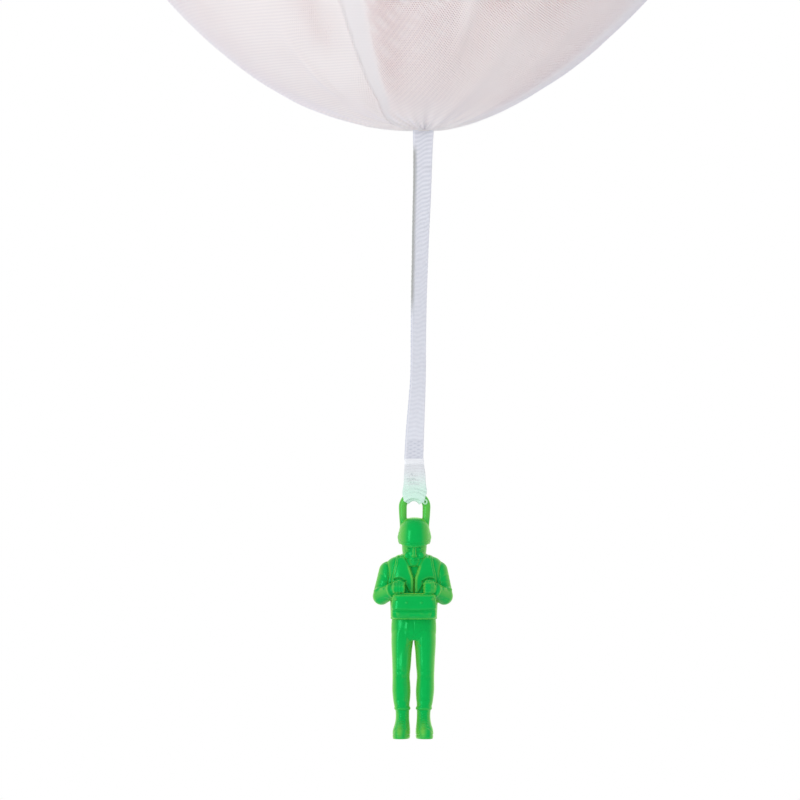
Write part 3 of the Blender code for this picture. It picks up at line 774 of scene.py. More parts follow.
def net_closeness(turn, radius, from_start):
    """How close the net's threads lie: 1 in a hem or where it is drawn together, less elsewhere."""
    usual = 0.38
    hem = 1 - smooth_between(from_start, hem_turn * 0.92, hem_turn * 1.08)
    drawn = 1 - smooth_between(radius, 0.012, 0.050)
    drift = 0.22 * noise.noise(Vector((cos(turn) * 2.6, sin(turn) * 2.6, radius * 14)))
    left = 0.42 * (1 - smooth_between(sin(turn) * radius, -0.026, -0.013)) * max(cos(turn), 0)
    body = usual + left + drift + sum(streak(turn, radius, row) for row in open_places)
    body = min(max(body, 0), 1)
    return body + (1 - body) * max(hem * 0.9, drawn * 0.8)


def net_place(turn, radius, lift=0.0):
    """A point of the skirt; lift is outwards from it."""
    lean = max(0, 1 - (radius - neck_radius) / offset_reach)
    centre = exit_offset * lean * lean
    steepness = 2 * bowl_curve * radius
    run = sqrt(1 + steepness**2)
    fold = net_folds(turn, radius) + lift
    out = radius + fold * steepness / run
    height = exit_level + bowl_curve * radius**2 - fold / run
    return Vector((centre + out * sin(turn), -out * cos(turn), height))


def net_run(radius):
    """Length of net from the middle of the bowl out to a radius."""
    steepness = 2 * bowl_curve * radius
    return (steepness * sqrt(1 + steepness**2) + np.arcsinh(steepness)) / (4 * bowl_curve)


def white_net():
    """Soft knitted net: two slanting sets of threads, open between them, with faint rows.

    The rows follow the length of net from the bowl's middle on the left, and go straight down on
    the right. The points' "close" widens the threads, and "hem" turns them grey: the hem's own
    grey darkened as painted shade under the lapping panel, and painted shade along the right edge.
    """
    mesh_pitch = 0.00105
    open_share = 0.30
    close_share = 0.84
    slant = radians(58)
    wale_pitch = 0.00225
    course_pitch = 0.0018
    material, tree, shader, output = finish_tree("soft_white_net")
    across, along, cut = cut_axes(tree)
    more = close_share - open_share
    share = sum_of(tree, "MULTIPLY_ADD", noted(tree, "close"), more, open_share)
    sets = [thread_lines(tree, cut_axes(tree, turn)[0], mesh_pitch, share) for turn in (slant, -slant)]
    covered = sum_of(tree, "MAXIMUM", *sets)
    run = add_node(tree, "ShaderNodeVectorMath", {0: cut}, operation="LENGTH").outputs["Value"]
    place = add_node(tree, "ShaderNodeTexCoord").outputs["Object"]
    side = add_node(tree, "ShaderNodeSeparateXYZ", {0: place}).outputs["X"]
    courses, wales = (
        sum_of(tree, "MULTIPLY_ADD", waves(tree, way, pitch), 0.5, 0.5)
        for way, pitch in ((run, course_pitch), (across, wale_pitch))
    )
    turned = smooth_range(tree, side, -0.022, -0.006)
    rows = add_node(tree, "ShaderNodeMix", {"Factor": turned, "A": courses, "B": wales})
    faded = smooth_range(tree, side, 0.010, 0.034, 1.0, 0.15)
    shown = sum_of(tree, "MULTIPLY", mottle(tree, place, 26, 2), faded)
    patchy = sum_of(tree, "MULTIPLY", rows.outputs["Result"], shown)
    cloudy = mottle(tree, place, 34)
    soft = blend_colours(tree, cloudy, (0.93, 0.90, 0.895), (0.975, 0.957, 0.952))
    colour = blend_colours(tree, patchy, soft, (0.86, 0.84, 0.86))
    # Painted shade: the hem under the lapping panel and the net's right edge go grey by the points' "hem".
    colour = blend_colours(tree, noted(tree, "hem"), colour, (0.875, 0.865, 0.880))
    looks = {"Roughness": 0.75, "Specular IOR Level": 0.1}
    sheen = {"Sheen Weight": 0.9, "Sheen Roughness": 0.35, "Sheen Tint": (0.57, 0.59, 0.70)}
    fill(tree, shader, {"Base Color": colour, **looks, **sheen})
    cloth = let_light_through(tree, shader, output, colour, 0.22)
    hole = add_node(tree, "ShaderNodeBsdfTransparent").outputs[0]
    fill(tree, output, {"Surface": mix_shaders(tree, covered, hole, cloth)})
    return material


net = white_net()
half_panel = pi / panel_count
panel_lap = radians(0.9)
over_lift = 0.00014
under_drop = 0.00012
# How grey the hem goes: the doubled net's own grey, darkened as painted shade under the panel that laps
# it.
hem_grey_and_shade = 0.75
# Painted shade along the net's right edge, which turns away from the key light, in the same form as the
# open places.
edge_painted_shade = (86.0, 17.0, 0.95, 0.004, 0.170)


def net_swirl(radius):
    """How far the panels turn to one side where they are drawn in to the tape."""
    return -radians(11) * (max(turn_reach - radius, 0) / 0.022) ** 1.2


def note_values(mesh, name, values):
    """Puts a value on each point, which the material can read by its name."""
    layer = mesh.attributes.new(name, "FLOAT", "POINT")
    layer.data.foreach_set("value", np.array(values, np.float32))


def make_net_panel(number):
    columns = 144
    rows = 110
    start = net_seam + 2 * half_panel * number
    middle = start + half_panel

    def panel_turn(u):
        closer_at_sides = u + 0.10 * sin(2 * pi * u) / (2 * pi)
        return (2 * half_panel + panel_lap) * closer_at_sides - panel_lap

    def radius_at(v):
        return neck_radius + (net_edge_radius - neck_radius) * (0.35 * v + 0.65 * v * v)

    def place_at(u, v):
        radius = radius_at(v)
        turn = panel_turn(u)
        over = smooth_between(turn, 2 * half_panel - radians(3.2), 2 * half_panel - radians(0.2))
        under = 1 - smooth_between(turn, 0, radians(1.0))
        lift = (over_lift * over - under_drop * under) * min(radius / 0.02, 1)
        return net_place(start + turn + net_swirl(radius), radius, lift)

    def cut_at(u, v):
        radius = radius_at(v)
        run = net_run(radius)
        turn = start + panel_turn(u) - middle
        return run * sin(turn), run * cos(turn)

    name = f"net_cloth_{number + 1}"
    panel = show(name, cloth_grid(name, columns, rows, place_at, cut_at), net)
    closeness = []
    hem_and_edge_shade = []
    for row in range(rows + 1):
        radius = radius_at(row / rows)
        for column in range(columns + 1):
            turn = panel_turn(column / columns)
            to_edge = 2 * half_panel - turn
            free = 1 - smooth_between(to_edge, radians(0.1), radians(1.4))
            close = net_closeness(start + turn, radius, turn)
            closeness.append(close * (1 - free) - 0.5 * free)
            # Painted shade: the hem's grey under the lapping panel, and the grey along the net's right
            # edge.
            hem = hem_grey_and_shade * (1 - smooth_between(turn, hem_turn * 0.70, hem_turn * 1.20))
            hem_and_edge_shade.append(max(hem, streak(start + turn, radius, edge_painted_shade)))
    note_values(panel.data, "close", closeness)
    note_values(panel.data, "hem", hem_and_edge_shade)
    thicken(panel, net_thickness)
    panel.data.set_sharp_from_angle(angle=radians(50))
    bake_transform(panel)
    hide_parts(f"net_panel_{number + 1}")


for number in range(panel_count):
    make_net_panel(number)

# Gathered end: the last of the net drawn together, bound with a few turns of thread, and left as
# a ruffled tuft inside the skirt. The tape is sewn into its neck.
tuft_height = gather_high.z - exit_level
tuft_radius = (gather_high.x - gather_low.x) / 2
neck = 0.0028


def make_tuft():
    columns = 180
    rows = 26
    root = 0.0006
    neck_inside = neck * 0.92
    folds = 14

    def place_at(u, v):
        turn = 2 * pi * u
        flare = smooth_between(v, 0.18, 0.9)
        base = neck_inside + (tuft_radius * 0.82 - neck_inside) * flare
        ruffle = (0.08 + 0.16 * flare) * cos(folds * turn + 1.2 * sin(2 * turn))
        top = tuft_height * (0.84 + 0.10 * sin(3 * turn) + 0.05 * sin(7 * turn))
        place = round_place(base * (1 + ruffle), turn, exit_level - root + (top + root) * v)
        return place + Vector((exit_offset, 0, 0))

    def cut_at(u, v):
        return 0.06 * u, tuft_height * v

    mesh = cloth_grid("gathered_net", columns, rows, place_at, cut_at)
    weld(mesh, 0.000005)
    return mesh


tuft = show("gathered_net", make_tuft(), net)
note_values(tuft.data, "close", [0.8] * len(tuft.data.vertices))
thicken(tuft, net_thickness)
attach(tuft, "gather")
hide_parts("net_gather")


def thread_tube(name, path, thread, finish, body, closed=False):
    """One round thread through a path of points."""
    lines = lines_through(name, [path], closed)
    lines.data.bevel_depth = thread / 2
    lines.data.bevel_resolution = 3 if closed else 2
    lines.data.use_fill_caps = not closed
    mesh = mesh_from(lines)
    mesh.shade_smooth()
    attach(show(name, mesh, finish), body)


white_thread = thread_finish("white_thread", (0.86, 0.86, 0.89))
binding_turns = 6
binding_pitch = 0.0005
steps_round = 24
winding = []
for step in range(steps_round * binding_turns + 1):
    turn = 2 * pi * step / steps_round
    height = exit_level + 0.0008 + binding_pitch * step / steps_round
    radius = neck + 0.0004
    winding.append((exit_offset + radius * cos(turn), radius * sin(turn), height))
thread_tube("gather_binding", winding, binding_pitch, white_thread, "gather")

# Tape: flat woven polyester, 9.5 mm wide, with ribs across it and a firm selvage. It leaves the
# net with its left edge a little to the front, turns further on the way down, and part of the way
# back above the figure.
tape_low, tape_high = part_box("ribbon")
tape_width = 0.0095
tape_thickness = 0.0007
tape_top = tape_high.z
tape_length = tape_high.z - tape_low.z
fold_low, fold_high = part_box("ribbon_fold")
figure_offset = (fold_low.x + fold_high.x) / 2
rib_pitch = 0.0019
rib_depth = 0.00010
tape_bend_length = 0.015
# How the tape lies on its way down: share of its length, sideways place between the exit and
# the figure, and its turn about its own line.
tape_lie_shares = [
    (0.0, -0.03, 0.42),
    (0.05, 0.01, 0.62),
    (0.145, 0.07, 0.74),
    (0.22, 0.15, 0.79),
    (0.31, 0.26, 0.88),
    (0.385, 0.33, 0.94),
    (0.50, 0.44, 1.0),
    (0.63, 0.50, 1.03),
    (0.74, 0.53, 1.02),
    (0.82, 0.67, 0.92),
    (0.91, 0.86, 0.77),
    (1.0, 1.0, 0.67),
]
tape_full_turn = radians(46)
tape_lie_fine = np.array(between_rows(tape_lie_shares, 24))


def tape_lie(share):
    """Sideways place and turn of the tape, smoothly between the rows of the table."""
    side = np.interp(share, tape_lie_fine[:, 0], tape_lie_fine[:, 1])
    turn = np.interp(share, tape_lie_fine[:, 0], tape_lie_fine[:, 2])
    return exit_offset + (figure_offset - exit_offset) * side, tape_full_turn * turn


def tape_finish(name, dark, pale, painted_light_colour):
    """White tape: a fine weave, dark to pale by the points' "rib" with painted shade in it, and a second
    colour where the points note a share: painted shade on the tape's edge, painted green light on its
    doubled end.
    """
    warp_pitch = 0.00084
    weft_pitch = 0.00096
    material, tree, shader, output = finish_tree(name)
    across, along, cut = cut_axes(tree)
    weave = sum_of(tree, "MULTIPLY", waves(tree, across, warp_pitch), waves(tree, along, weft_pitch))
    weave = sum_of(tree, "MULTIPLY_ADD", weave, 0.5, 0.5)
    shade = sum_of(tree, "MULTIPLY", weave, 0.22)
    shade = sum_of(tree, "MULTIPLY_ADD", noted(tree, "rib"), 0.6, shade)
    shade = sum_of(tree, "MULTIPLY_ADD", mottle(tree, cut, 420), 0.36, shade)
    colour = blend_colours(tree, shade, dark, pale)
    colour = blend_colours(tree, noted(tree, "painted_light_share"), colour, painted_light_colour)
    looks = {"Roughness": 0.6, "Specular IOR Level": 0.2, "Sheen Weight": 0.1}
    fill(tree, shader, {"Base Color": colour, **looks})
    normal = raise_by(tree, shader, weave, 0.00004)
    let_light_through(tree, shader, output, colour, 0.12, normal)
    return material


# Painted shade along the tape's left edge, where it turns from the light.
selvage_painted_shade = (0.44, 0.45, 0.44)
white_tape = tape_finish("white_woven_tape", (0.62, 0.64, 0.72), (0.92, 0.93, 0.99), selvage_painted_shade)


def closed_strip(name, around, verts, cuts, ribs, painted_light_shares):
    """A strip through rings of points with closed ends, its cut, and the values on its points."""
    rows = len(verts) // around - 1
    faces = []
    for low in range(0, rows * around, around):
        high = low + around
        for k in range(around):
            beside = (k + 1) % around
            faces.append((low + k, high + k, high + beside, low + beside))
    faces.append(tuple(range(around)))
    faces.append(tuple(rows * around + k for k in reversed(range(around))))
    mesh = bpy.data.meshes.new(name)
    mesh.from_pydata(verts, [], faces)
    map_cut(mesh, cuts)
    note_values(mesh, "rib", ribs)
    note_values(mesh, "painted_light_share", painted_light_shares)
    return outwards(mesh)


def tape_section(columns=10):
    """The corners of the tape's section: share of its half width, and of its half thickness."""
    flat = [0.985 * (-1 + 2 * k / columns) for k in range(columns + 1)]
    front_face = [(side, 1) for side in flat] + [(1.0, 0.8), (1.0, -0.8)]
    back_face = [(-side, -1) for side in flat] + [(-1.0, -0.8), (-1.0, 0.8)]
    return front_face + back_face


def tape_mesh(name, low_share, high_share, rows):
    """A stretch of the tape as a closed strip with ribbed faces and round edges."""
    bead_pitch = 0.0022
    bead_height = 0.00008
    tick_pitches = (0.0012, 0.0017)
    outline = tape_section()
    verts = []
    cuts = []
    ribs = []
    selvage_shade = []
    for row in range(rows + 1):
        share = low_share + (high_share - low_share) * row / rows
        centre, turn = tape_lie(share)
        along = tape_length * share
        slant = 0.55 * (1 - smooth_between(share, 0.35, 0.75)) * sin(turn + 0.25)
        lower_ribs = 1 - 0.55 * smooth_between(along, 0.030, 0.060)
        doubled = smooth_between(along, tape_length - 0.0095, tape_length - 0.0075)
        facing = smooth_between(along, 0.004, 0.010) * (1 - smooth_between(along, 0.070, 0.084))
        for side, face in outline:
            across = side * tape_width / 2
            ripple = 0.00035 * sin(across * 900 + along * 61) + 0.0003 * sin(along * 173 + side)
            wave = lower_ribs * cos(2 * pi * (along + slant * across + ripple) / rib_pitch)
            edge = smooth_between(1 - abs(side), 0.0, 0.12)
            selvage = 1 - edge
            beads = selvage * cos(2 * pi * along / bead_pitch) * bead_height
            relief = rib_depth * wave * edge * 0.5 + beads
            off = face * (tape_thickness / 2 * (0.86 + 0.14 * selvage) + relief)
            x = centre + across * cos(turn) - off * sin(turn)
            y = across * sin(turn) + off * cos(turn)
            verts.append((x, y, tape_top - along))
            cuts.append((across, along))
            ticks = doubled
            for way, pitch in zip((across, along), tick_pitches):
                ticks *= cos(2 * pi * way / pitch)
            shade = 0.60 - 0.20 * doubled + 0.40 * wave * (1 - 0.7 * doubled) - 0.95 * max(ticks, 0)
            # Painted shade: the walls of the tape's edges go dark, and the faces beside them pale.
            ribs.append(shade * edge + (-0.45 if abs(side) == 1 else 0.8) * selvage)
            # Painted shade: a grey strip along the tape's left edge, from about 4 mm to 84 mm below its
            # top.
            selvage_shade.append(facing * share_between(-side, 0.62, 0.96))
    return closed_strip(name, len(outline), verts, cuts, ribs, selvage_shade)


bend_share = tape_bend_length / tape_length
top_share = -0.0016 / tape_length
end_share = 1.0 + 0.0002 / tape_length
tape_head = show("tape_top_end", tape_mesh("tape_top_end", top_share, bend_share, 76), white_tape)
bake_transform(tape_head)
tape = show("tape", tape_mesh("tape", bend_share, end_share, 620), white_tape)
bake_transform(tape)
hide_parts("ribbon")

# Tape's doubled end: the tape goes down behind the loop's bar, comes back up its front, and is
# tacked to itself with a few short rows of stitches. Its sealed end shows as a whiter edge, and
# near the loop the tape is painted pale green, a painted green light from the plastic.
fold_width = 0.0095
fold_thickness = 0.00058
fold_gap = 0.00012
fold_top = fold_high.z
bar_radius = 0.00185
bar_clearance = 0.0002
arch_reach = 0.00525
bar_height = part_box("parachutist")[1].z - bar_radius
wrap_radius = bar_radius + bar_clearance + fold_thickness / 2
ply_parting = 0.0048
wrap_swing = (radians(59), radians(64))
# Painted green light from the plastic on the tape near the loop; the darker grey is for painted shade at
# the needle's marks and in creases.
painted_green_light = (0.60, 0.92, 0.75)
tape_finish_with_painted_green_light = tape_finish("tape_at_the_loop", (0.52, 0.55, 0.58), (0.94, 0.955, 0.99), painted_green_light)
fold_columns = 40
wrap_rows = 64
ply_rows = 110
fold_rows = 2 * ply_rows + wrap_rows
fold_mid = (fold_thickness + fold_gap) / 2
# Where the needle went through, each painted as a dark spot of shade: millimetres beside the middle and
# above the loop's bar.
needle_marks = [
    (-1.0, 9.4),
    (-2.7, 7.2),
    (-1.9, 7.2),
    (-0.8, 7.2),
    (0.1, 7.2),
    (-1.5, 5.6),
    (0.0, 5.6),
]


def wrap_line(swing, step):
    """The cloth round the loop's bar, fanned out along the arch by a swing to either side."""
    turn = pi * (0.5 - (step - ply_rows) / wrap_rows)
    reach = arch_reach - wrap_radius * cos(turn)
    height = bar_height - arch_reach + reach * cos(swing)
    return Vector((reach * sin(swing), wrap_radius * sin(turn), height))


def flat_ply_side(across, above, behind):
    """Sideways place on a ply that lies flat: it is wider above the bar, and a little uneven."""
    bulge = 0.0014 if across < 0 else 0.0018
    spread = bulge * exp(-(((above + 0.0006) / 0.0032) ** 2))
    shift = 0.0003 if behind else 0.0002 - 0.0004 * smooth_between(above, 0.008, 0.0145)
    return across * (fold_width / 2 - 0.0001 + spread) + 0.0003 * max(across, 0) + shift


def fold_line(across, way):
    """The middle of the doubled tape's cloth: way 0 is the top behind, and 1 the sealed end."""
    left_share, right_share = wrap_swing
    swing = across * (left_share if across < 0 else right_share)
    step = way * fold_rows
    if ply_rows < step < ply_rows + wrap_rows:
        return wrap_line(swing, step)
    behind = step <= ply_rows
    share = 1 - step / ply_rows if behind else (step - ply_rows - wrap_rows) / ply_rows
    low = wrap_line(swing, ply_rows if behind else ply_rows + wrap_rows)
    top = fold_top + (-0.0002 if behind else 0.0007)
    height = low.z + (top - low.z) * share
    above = height - bar_height
    parted = 1 - smooth_between(above, low.z - bar_height, ply_parting)
    flat_x = flat_ply_side(across, above, behind)
    off = fold_mid if behind else -fold_mid - 0.0001
    x = flat_x + (low.x - flat_x) * parted
    y = off + (low.y - off) * parted**1.3
    upper = smooth_between(height, bar_height + 0.0035, fold_top)
    turn = tape_full_turn * tape_lie_shares[-1][2] * upper
    return Vector((x * cos(turn) - y * sin(turn), x * sin(turn) + y * cos(turn), height))


def fold_mesh():
    """The doubled tape as a closed strip, creased round the bar, with painted shade at the needle's marks
    and in the creases' troughs, and painted green light near the bar.
    """
    dimple_pitch = 0.0012
    crease_pitch = 0.0018
    crease_height = 0.00017
    prick_radius = 0.00040
    verts = []
    cuts = []
    ribs = []
    near = []
    around = 2 * fold_columns + 2
    run = 0.0
    last = fold_line(0, 0)
    for row in range(fold_rows + 1):
        way = row / fold_rows
        here = fold_line(0, way)
        run += (here - last).length
        last = here
        rib = cos(2 * pi * run / dimple_pitch)
        sealed = smooth_between(way, 0.944, 0.950)
        for k in range(around):
            outer = k <= fold_columns
            column = k if outer else around - 1 - k
            across = -1 + 2 * column / fold_columns
            point = fold_line(across, way)
            ahead = fold_line(across, min(way + 0.004, 1)) - fold_line(across, max(way - 0.004, 0))
            left, right = max(across - 0.05, -1), min(across + 0.05, 1)
            beside = fold_line(right, way) - fold_line(left, way)
            normal = ahead.cross(beside).normalized()
            above = point.z - bar_height
            creases = cos(2 * pi * (run + 0.0003 * cos(across * 2)) / crease_pitch)
            creases *= crease_height * (1 - smooth_between(above, 0.0010, 0.0056))
            dimple = 0.00007 * rib * smooth_between(above, 0.002, 0.005)
            thick = fold_thickness / 2 * (1 - 0.25 * abs(across) ** 8)
            push = (thick if outer else -thick) + creases + dimple * (0.6 + 0.4 * cos(across * 9))
            verts.append(point + normal * push + Vector((figure_offset, 0, 0)))
            cuts.append((across * fold_width / 2, run))
            prick = 0.0
            for x, z in needle_marks if way > 0.5 and not outer else ():
                apart = (point.x - x * 0.001) ** 2 + (above - z * 0.001) ** 2
                prick = max(prick, exp(-apart / prick_radius**2))
            # Painted shade: dark spots at the needle's marks, and darker troughs of the creases and ribs.
            shade = 0.64 + 0.10 * rib - 1.1 * prick + 1300 * min(creases, 0)
            ribs.append(shade * (1 - sealed) + 1.25 * sealed)
            # Painted green light from the plastic: strongest at the bar, gone 12.5 mm above it.
            near.append((1 - smooth_between(above, -0.001, 0.0125)) * 0.72)
    return closed_strip("tape_fold", around, verts, cuts, ribs, near)


fold = show("tape_fold", fold_mesh(), tape_finish_with_painted_green_light)
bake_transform(fold)
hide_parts("ribbon_fold")
# Rows of stitches: height above the bar, and where they start and end beside the middle.
tack_rows = [(0.0083, -0.0024, 0.0012), (0.0064, -0.0026, 0.0014), (0.0048, -0.0024, 0.0016)]
tack_paths = []
for height, left, right in tack_rows:
    path = []
    way = (ply_rows + wrap_rows + ply_rows * height / (fold_top - bar_height)) / fold_rows
    for step in range(25):
        x = left + (right - left) * step / 24
        middle = fold_line(x / (fold_width / 2), way)
        path.append(middle + Vector((figure_offset, -fold_thickness / 2 - 0.00012, 0)))
    tack_paths.append(path)
tack = sewn("fold_stitches", tack_paths, 0.00098, 0.00060, 0.00042, white_thread)
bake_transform(tack)
# The tape's lower right corner curls into a small ring against the plastic.
curl_side = 0.0050
curl_drop = 0.0029
curl_path = []
for step in range(steps_round):
    turn = 2 * pi * step / steps_round
    x = figure_offset + curl_side + 0.00078 * cos(turn)
    z = bar_height - curl_drop + 0.00090 * sin(turn)
    curl_path.append((x, -wrap_radius + 0.0002, z))
# Painted green light: the white tape's curl is coloured pale green where it lies against the plastic.
painted_green_light_thread = thread_finish("painted_green_light_thread", (0.46, 0.84, 0.53))
thread_tube("tape_curl", curl_path, 0.0008, painted_green_light_thread, "figure", closed=True)

# Parachutist: one solid moulding in bright green, slightly see-through plastic, glossy as it
# leaves the mould. The loop grows out of the helmet's sides, and the figure hangs from its arch.
# Its forms are laid up in millimetres from the middle of the loop's bar, with -Y to the front.
figure_low, figure_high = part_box("parachutist")
mm = 0.001
bar_half_depth = 1.85
bar_half_width = 1.78
arch_radius = 5.25
bar_level = figure_high.z - bar_half_depth * mm
figure_lean = 0.0077
lean_level = -55
front = Vector((0, -1, 0))
back = Vector((0, 1, 0))
leftward = Vector((-1, 0, 0))
rightward = Vector((1, 0, 0))


def lay_loops(clay, loops):
    """Adds a closed form through loops of points to the clay, a list of points and one of faces."""
    points, faces = clay
    loops = np.asarray(loops, float)
    rows, sides, _ = loops.shape
    first = len(points)
    points.extend(loops.reshape(-1, 3).tolist())
    for row in range(rows - 1):
        low = first + row * sides
        for k in range(sides):
            after = (k + 1) % sides
            faces.append((low + k, low + after, low + sides + after, low + sides + k))
    faces.append(tuple(range(first, first + sides)))
    faces.append(tuple(range(first + (rows - 1) * sides, first + rows * sides)))
    return slice(first, first + rows * sides)


def lay_rings(clay, rows, squareness=2.3, side=1, sides=72):
    """A closed form through level rings; a row is height, middle, half width, front and back."""
    turn = 2 * pi * np.arange(sides) / sides
    x = np.abs(np.cos(turn)) ** (2 / squareness) * np.sign(np.cos(turn))
    y = np.abs(np.sin(turn)) ** (2 / squareness) * np.sign(np.sin(turn))
    loops = []
    for height, middle, half_width, ahead, behind in between_rows(rows):
        across = side * middle + half_width * x
        along = (ahead + behind) / 2 + (behind - ahead) / 2 * y
        loops.append(np.stack((across, along, np.full(sides, height)), axis=1))
    return lay_loops(clay, loops)


def lay_bar(clay, start, end, profile, sides=36):
    """A round form on a straight axis; the profile is pairs of place along it and radius."""
    start, end = Vector(start), Vector(end)
    aim = np.array((end - start).to_track_quat("Z", "Y").to_matrix())
    turn = 2 * pi * np.arange(sides) / sides
    loops = []
    for along, radius in profile:
        ring = np.stack((radius * np.cos(turn), radius * np.sin(turn), np.full(sides, along)), axis=1)
        loops.append(ring @ aim.T + np.array(start))
    return lay_loops(clay, loops)


def lay_ball(clay, centre, half_sizes):
    steps = 20
    profile = [(-cos(pi * k / steps), max(sin(pi * k / steps), 0.01)) for k in range(steps + 1)]
    ball = lay_bar(clay, (0, 0, 0), (0, 0, 1), profile)
    placed = np.array(clay[0][ball]) * np.array(half_sizes) + np.array(centre)
    clay[0][ball] = placed.tolist()


def lay_limb(clay, points, radii):
    """Rounded bars from point to point, each end with its own radius."""
    for point, radius in zip(points, radii):
        lay_ball(clay, point, (radius,) * 3)
    for start, end, first, last in zip(points, points[1:], radii, radii[1:]):
        reach = (Vector(end) - Vector(start)).length
        lay_bar(clay, start, end, [(0, first), (reach, last)])


def moulded(name, clay, voxel, smoothing):
    """The forms of the clay melted into one skin, with its corners softened a little."""
    mesh = bpy.data.meshes.new(name)
    mesh.from_pydata(clay[0], [], clay[1])
    piece = bpy.data.objects.new(name, mesh)
    bpy.context.scene.collection.objects.link(piece)
    melt = piece.modifiers.new("melt", "REMESH")
    melt.mode = "VOXEL"
    melt.voxel_size = voxel
    soften = piece.modifiers.new("soften", "SMOOTH")
    soften.factor = 0.5
    soften.iterations = smoothing
    settle(piece)
    bpy.context.scene.collection.objects.unlink(piece)
    return piece.data


def triples(owner, name):
    """The x, y and z of every point or normal of a mesh, as rows."""
    values = np.empty(len(owner) * 3, np.float32)
    owner.foreach_get(name, values)
    return values.reshape(-1, 3).astype(float)


def soft_step(value, low, high):
    share = np.clip((value - low) / (high - low), 0, 1)
    return share * share * (3 - 2 * share)


def gap_to_path(view, path):
    """Distance from each point of the view to a line through the path's points."""
    nearest = np.full(len(view), 1e9)
    for start, end in zip(path, path[1:]):
        start, end = np.array(start, float), np.array(end, float)
        way = end - start
        share = np.clip((view - start) @ way / max(way @ way, 1e-12), 0, 1)
        reach = view - start - share[:, None] * way
        nearest = np.minimum(nearest, np.einsum("ij,ij->i", reach, reach))
    return np.sqrt(nearest)


def curved(path, fine=6):
    return between_rows(path, fine) if len(path) > 2 else [np.array(point, float) for point in path]


class Relief:
    """Detail pressed into a moulding's skin, each piece of it in the view from one side."""

    def __init__(self, mesh):
        self.mesh = mesh
        self.points = triples(mesh.vertices, "co")
        self.normals = triples(mesh.vertex_normals, "vector")
        self.lift = np.zeros(len(self.points))
        self.side = {"facing": front, "near": None}

    def work_on(self, facing, near=None):
        """Sets the side that the next detail is on, and the depths it lies between."""
        self.side = {"facing": facing, "near": near}

    def view(self):
        """Each point's place in the view from the side, and how much it belongs to that side."""
        facing, near = self.side["facing"], self.side["near"]
        across = 1 if abs(facing.x) > 0.5 else 0
        share = soft_step(self.normals @ np.array(facing), 0.02, 0.30)
        if near:
            depth = self.points @ np.array(facing)
            share = share * soft_step(depth, near[0] - 0.3, near[0] + 0.3)
            share = share * (1 - soft_step(depth, near[1] - 0.3, near[1] + 0.3))
        return self.points[:, (across, 2)], share

    def stroke(self, height, width, path, twice=False):
        """A soft ridge, or with a height below 0 a groove, along a path, or on both sides."""
        view, share = self.view()
        for line in both_sides(path) if twice else [path]:
            gap = gap_to_path(view, curved(line))
            self.lift += height * np.exp(-((gap / width) ** 2)) * share

    def strap(self, height, half_width, path, twice=False, edge=0.16):
        """A flat band with firm edges along a path."""
        view, share = self.view()
        for line in both_sides(path) if twice else [path]:
            gap = gap_to_path(view, curved(line))
            self.lift += height * (1 - soft_step(gap, half_width - edge, half_width + edge)) * share

    def field(self, height, outline, twice=False, edge=0.16):
        """A raised, or with a height below 0 a sunk, field inside an outline."""
        view, share = self.view()
        for line in both_sides(outline) if twice else [outline]:
            gap = gap_to_path(view, line + line[:1])
            inside = np.zeros(len(view), bool)
            for (ax, az), (bx, bz) in zip(line, line[1:] + line[:1]):
                crosses = (az > view[:, 1]) != (bz > view[:, 1])
                rise = bz - az if bz != az else 1e-9
                inside ^= crosses & (view[:, 0] < (bx - ax) * (view[:, 1] - az) / rise + ax)
            self.lift += height * soft_step(np.where(inside, gap, -gap), -edge, edge) * share

    def studs(self, height, radius, places):
        """Round rivet heads."""
        view, share = self.view()
        rise = np.zeros(len(view))
        for place in places:
            gap = np.hypot(view[:, 0] - place[0], view[:, 1] - place[1])
            rise = np.maximum(rise, np.sqrt(np.clip(1 - (gap / radius) ** 2, 0, 1)))
        self.lift += height * rise * share

    def press(self):
        """Pushes every point along its normal by all that was added."""
        points = self.points + self.normals * self.lift[:, None]
        self.mesh.vertices.foreach_set("co", points.astype(np.float32).ravel())
        self.mesh.update()


def both_sides(path):
    return [path, [(-x, z) for x, z in path]]


def green_plastic():
    """Even green, with painted light: points noted as an edge go pale yellow-green, standing in for rim
    highlights and light through thin plastic.
    """
    material, tree, shader, output = finish_tree("green_plastic")
    place = add_node(tree, "ShaderNodeTexCoord").outputs["Object"]
    cloud = mottle(tree, place, 260)
    deep = blend_colours(tree, cloud, (0.0004, 0.375, 0.060), (0.0010, 0.410, 0.069))
    # Painted light: the pale yellow-green mixed in by the points' "edge" share.
    colour = blend_colours(tree, noted(tree, "edge"), deep, (0.125, 0.485, 0.060))
    roughness = sum_of(tree, "MULTIPLY_ADD", mottle(tree, place, 900), 0.07, 0.13)
    fill(
        tree,
        shader,
        {
            "Base Color": colour,
            "Roughness": roughness,
            "Specular IOR Level": 0.5,
            "Specular Tint": (0.09, 0.92, 0.35),
            "Sheen Weight": 1.0,
            "Sheen Roughness": 0.36,
            "Sheen Tint": (0.46, 1.0, 0.12),
            "Subsurface Weight": 0.04,
            "Subsurface Radius": (0.5, 1.0, 0.4),
            "Subsurface Scale": 0.0009,
        },
    )
    raise_by(tree, shader, mottle(tree, place, 2600, 2), 0.00002)
    return material


plastic = green_plastic()


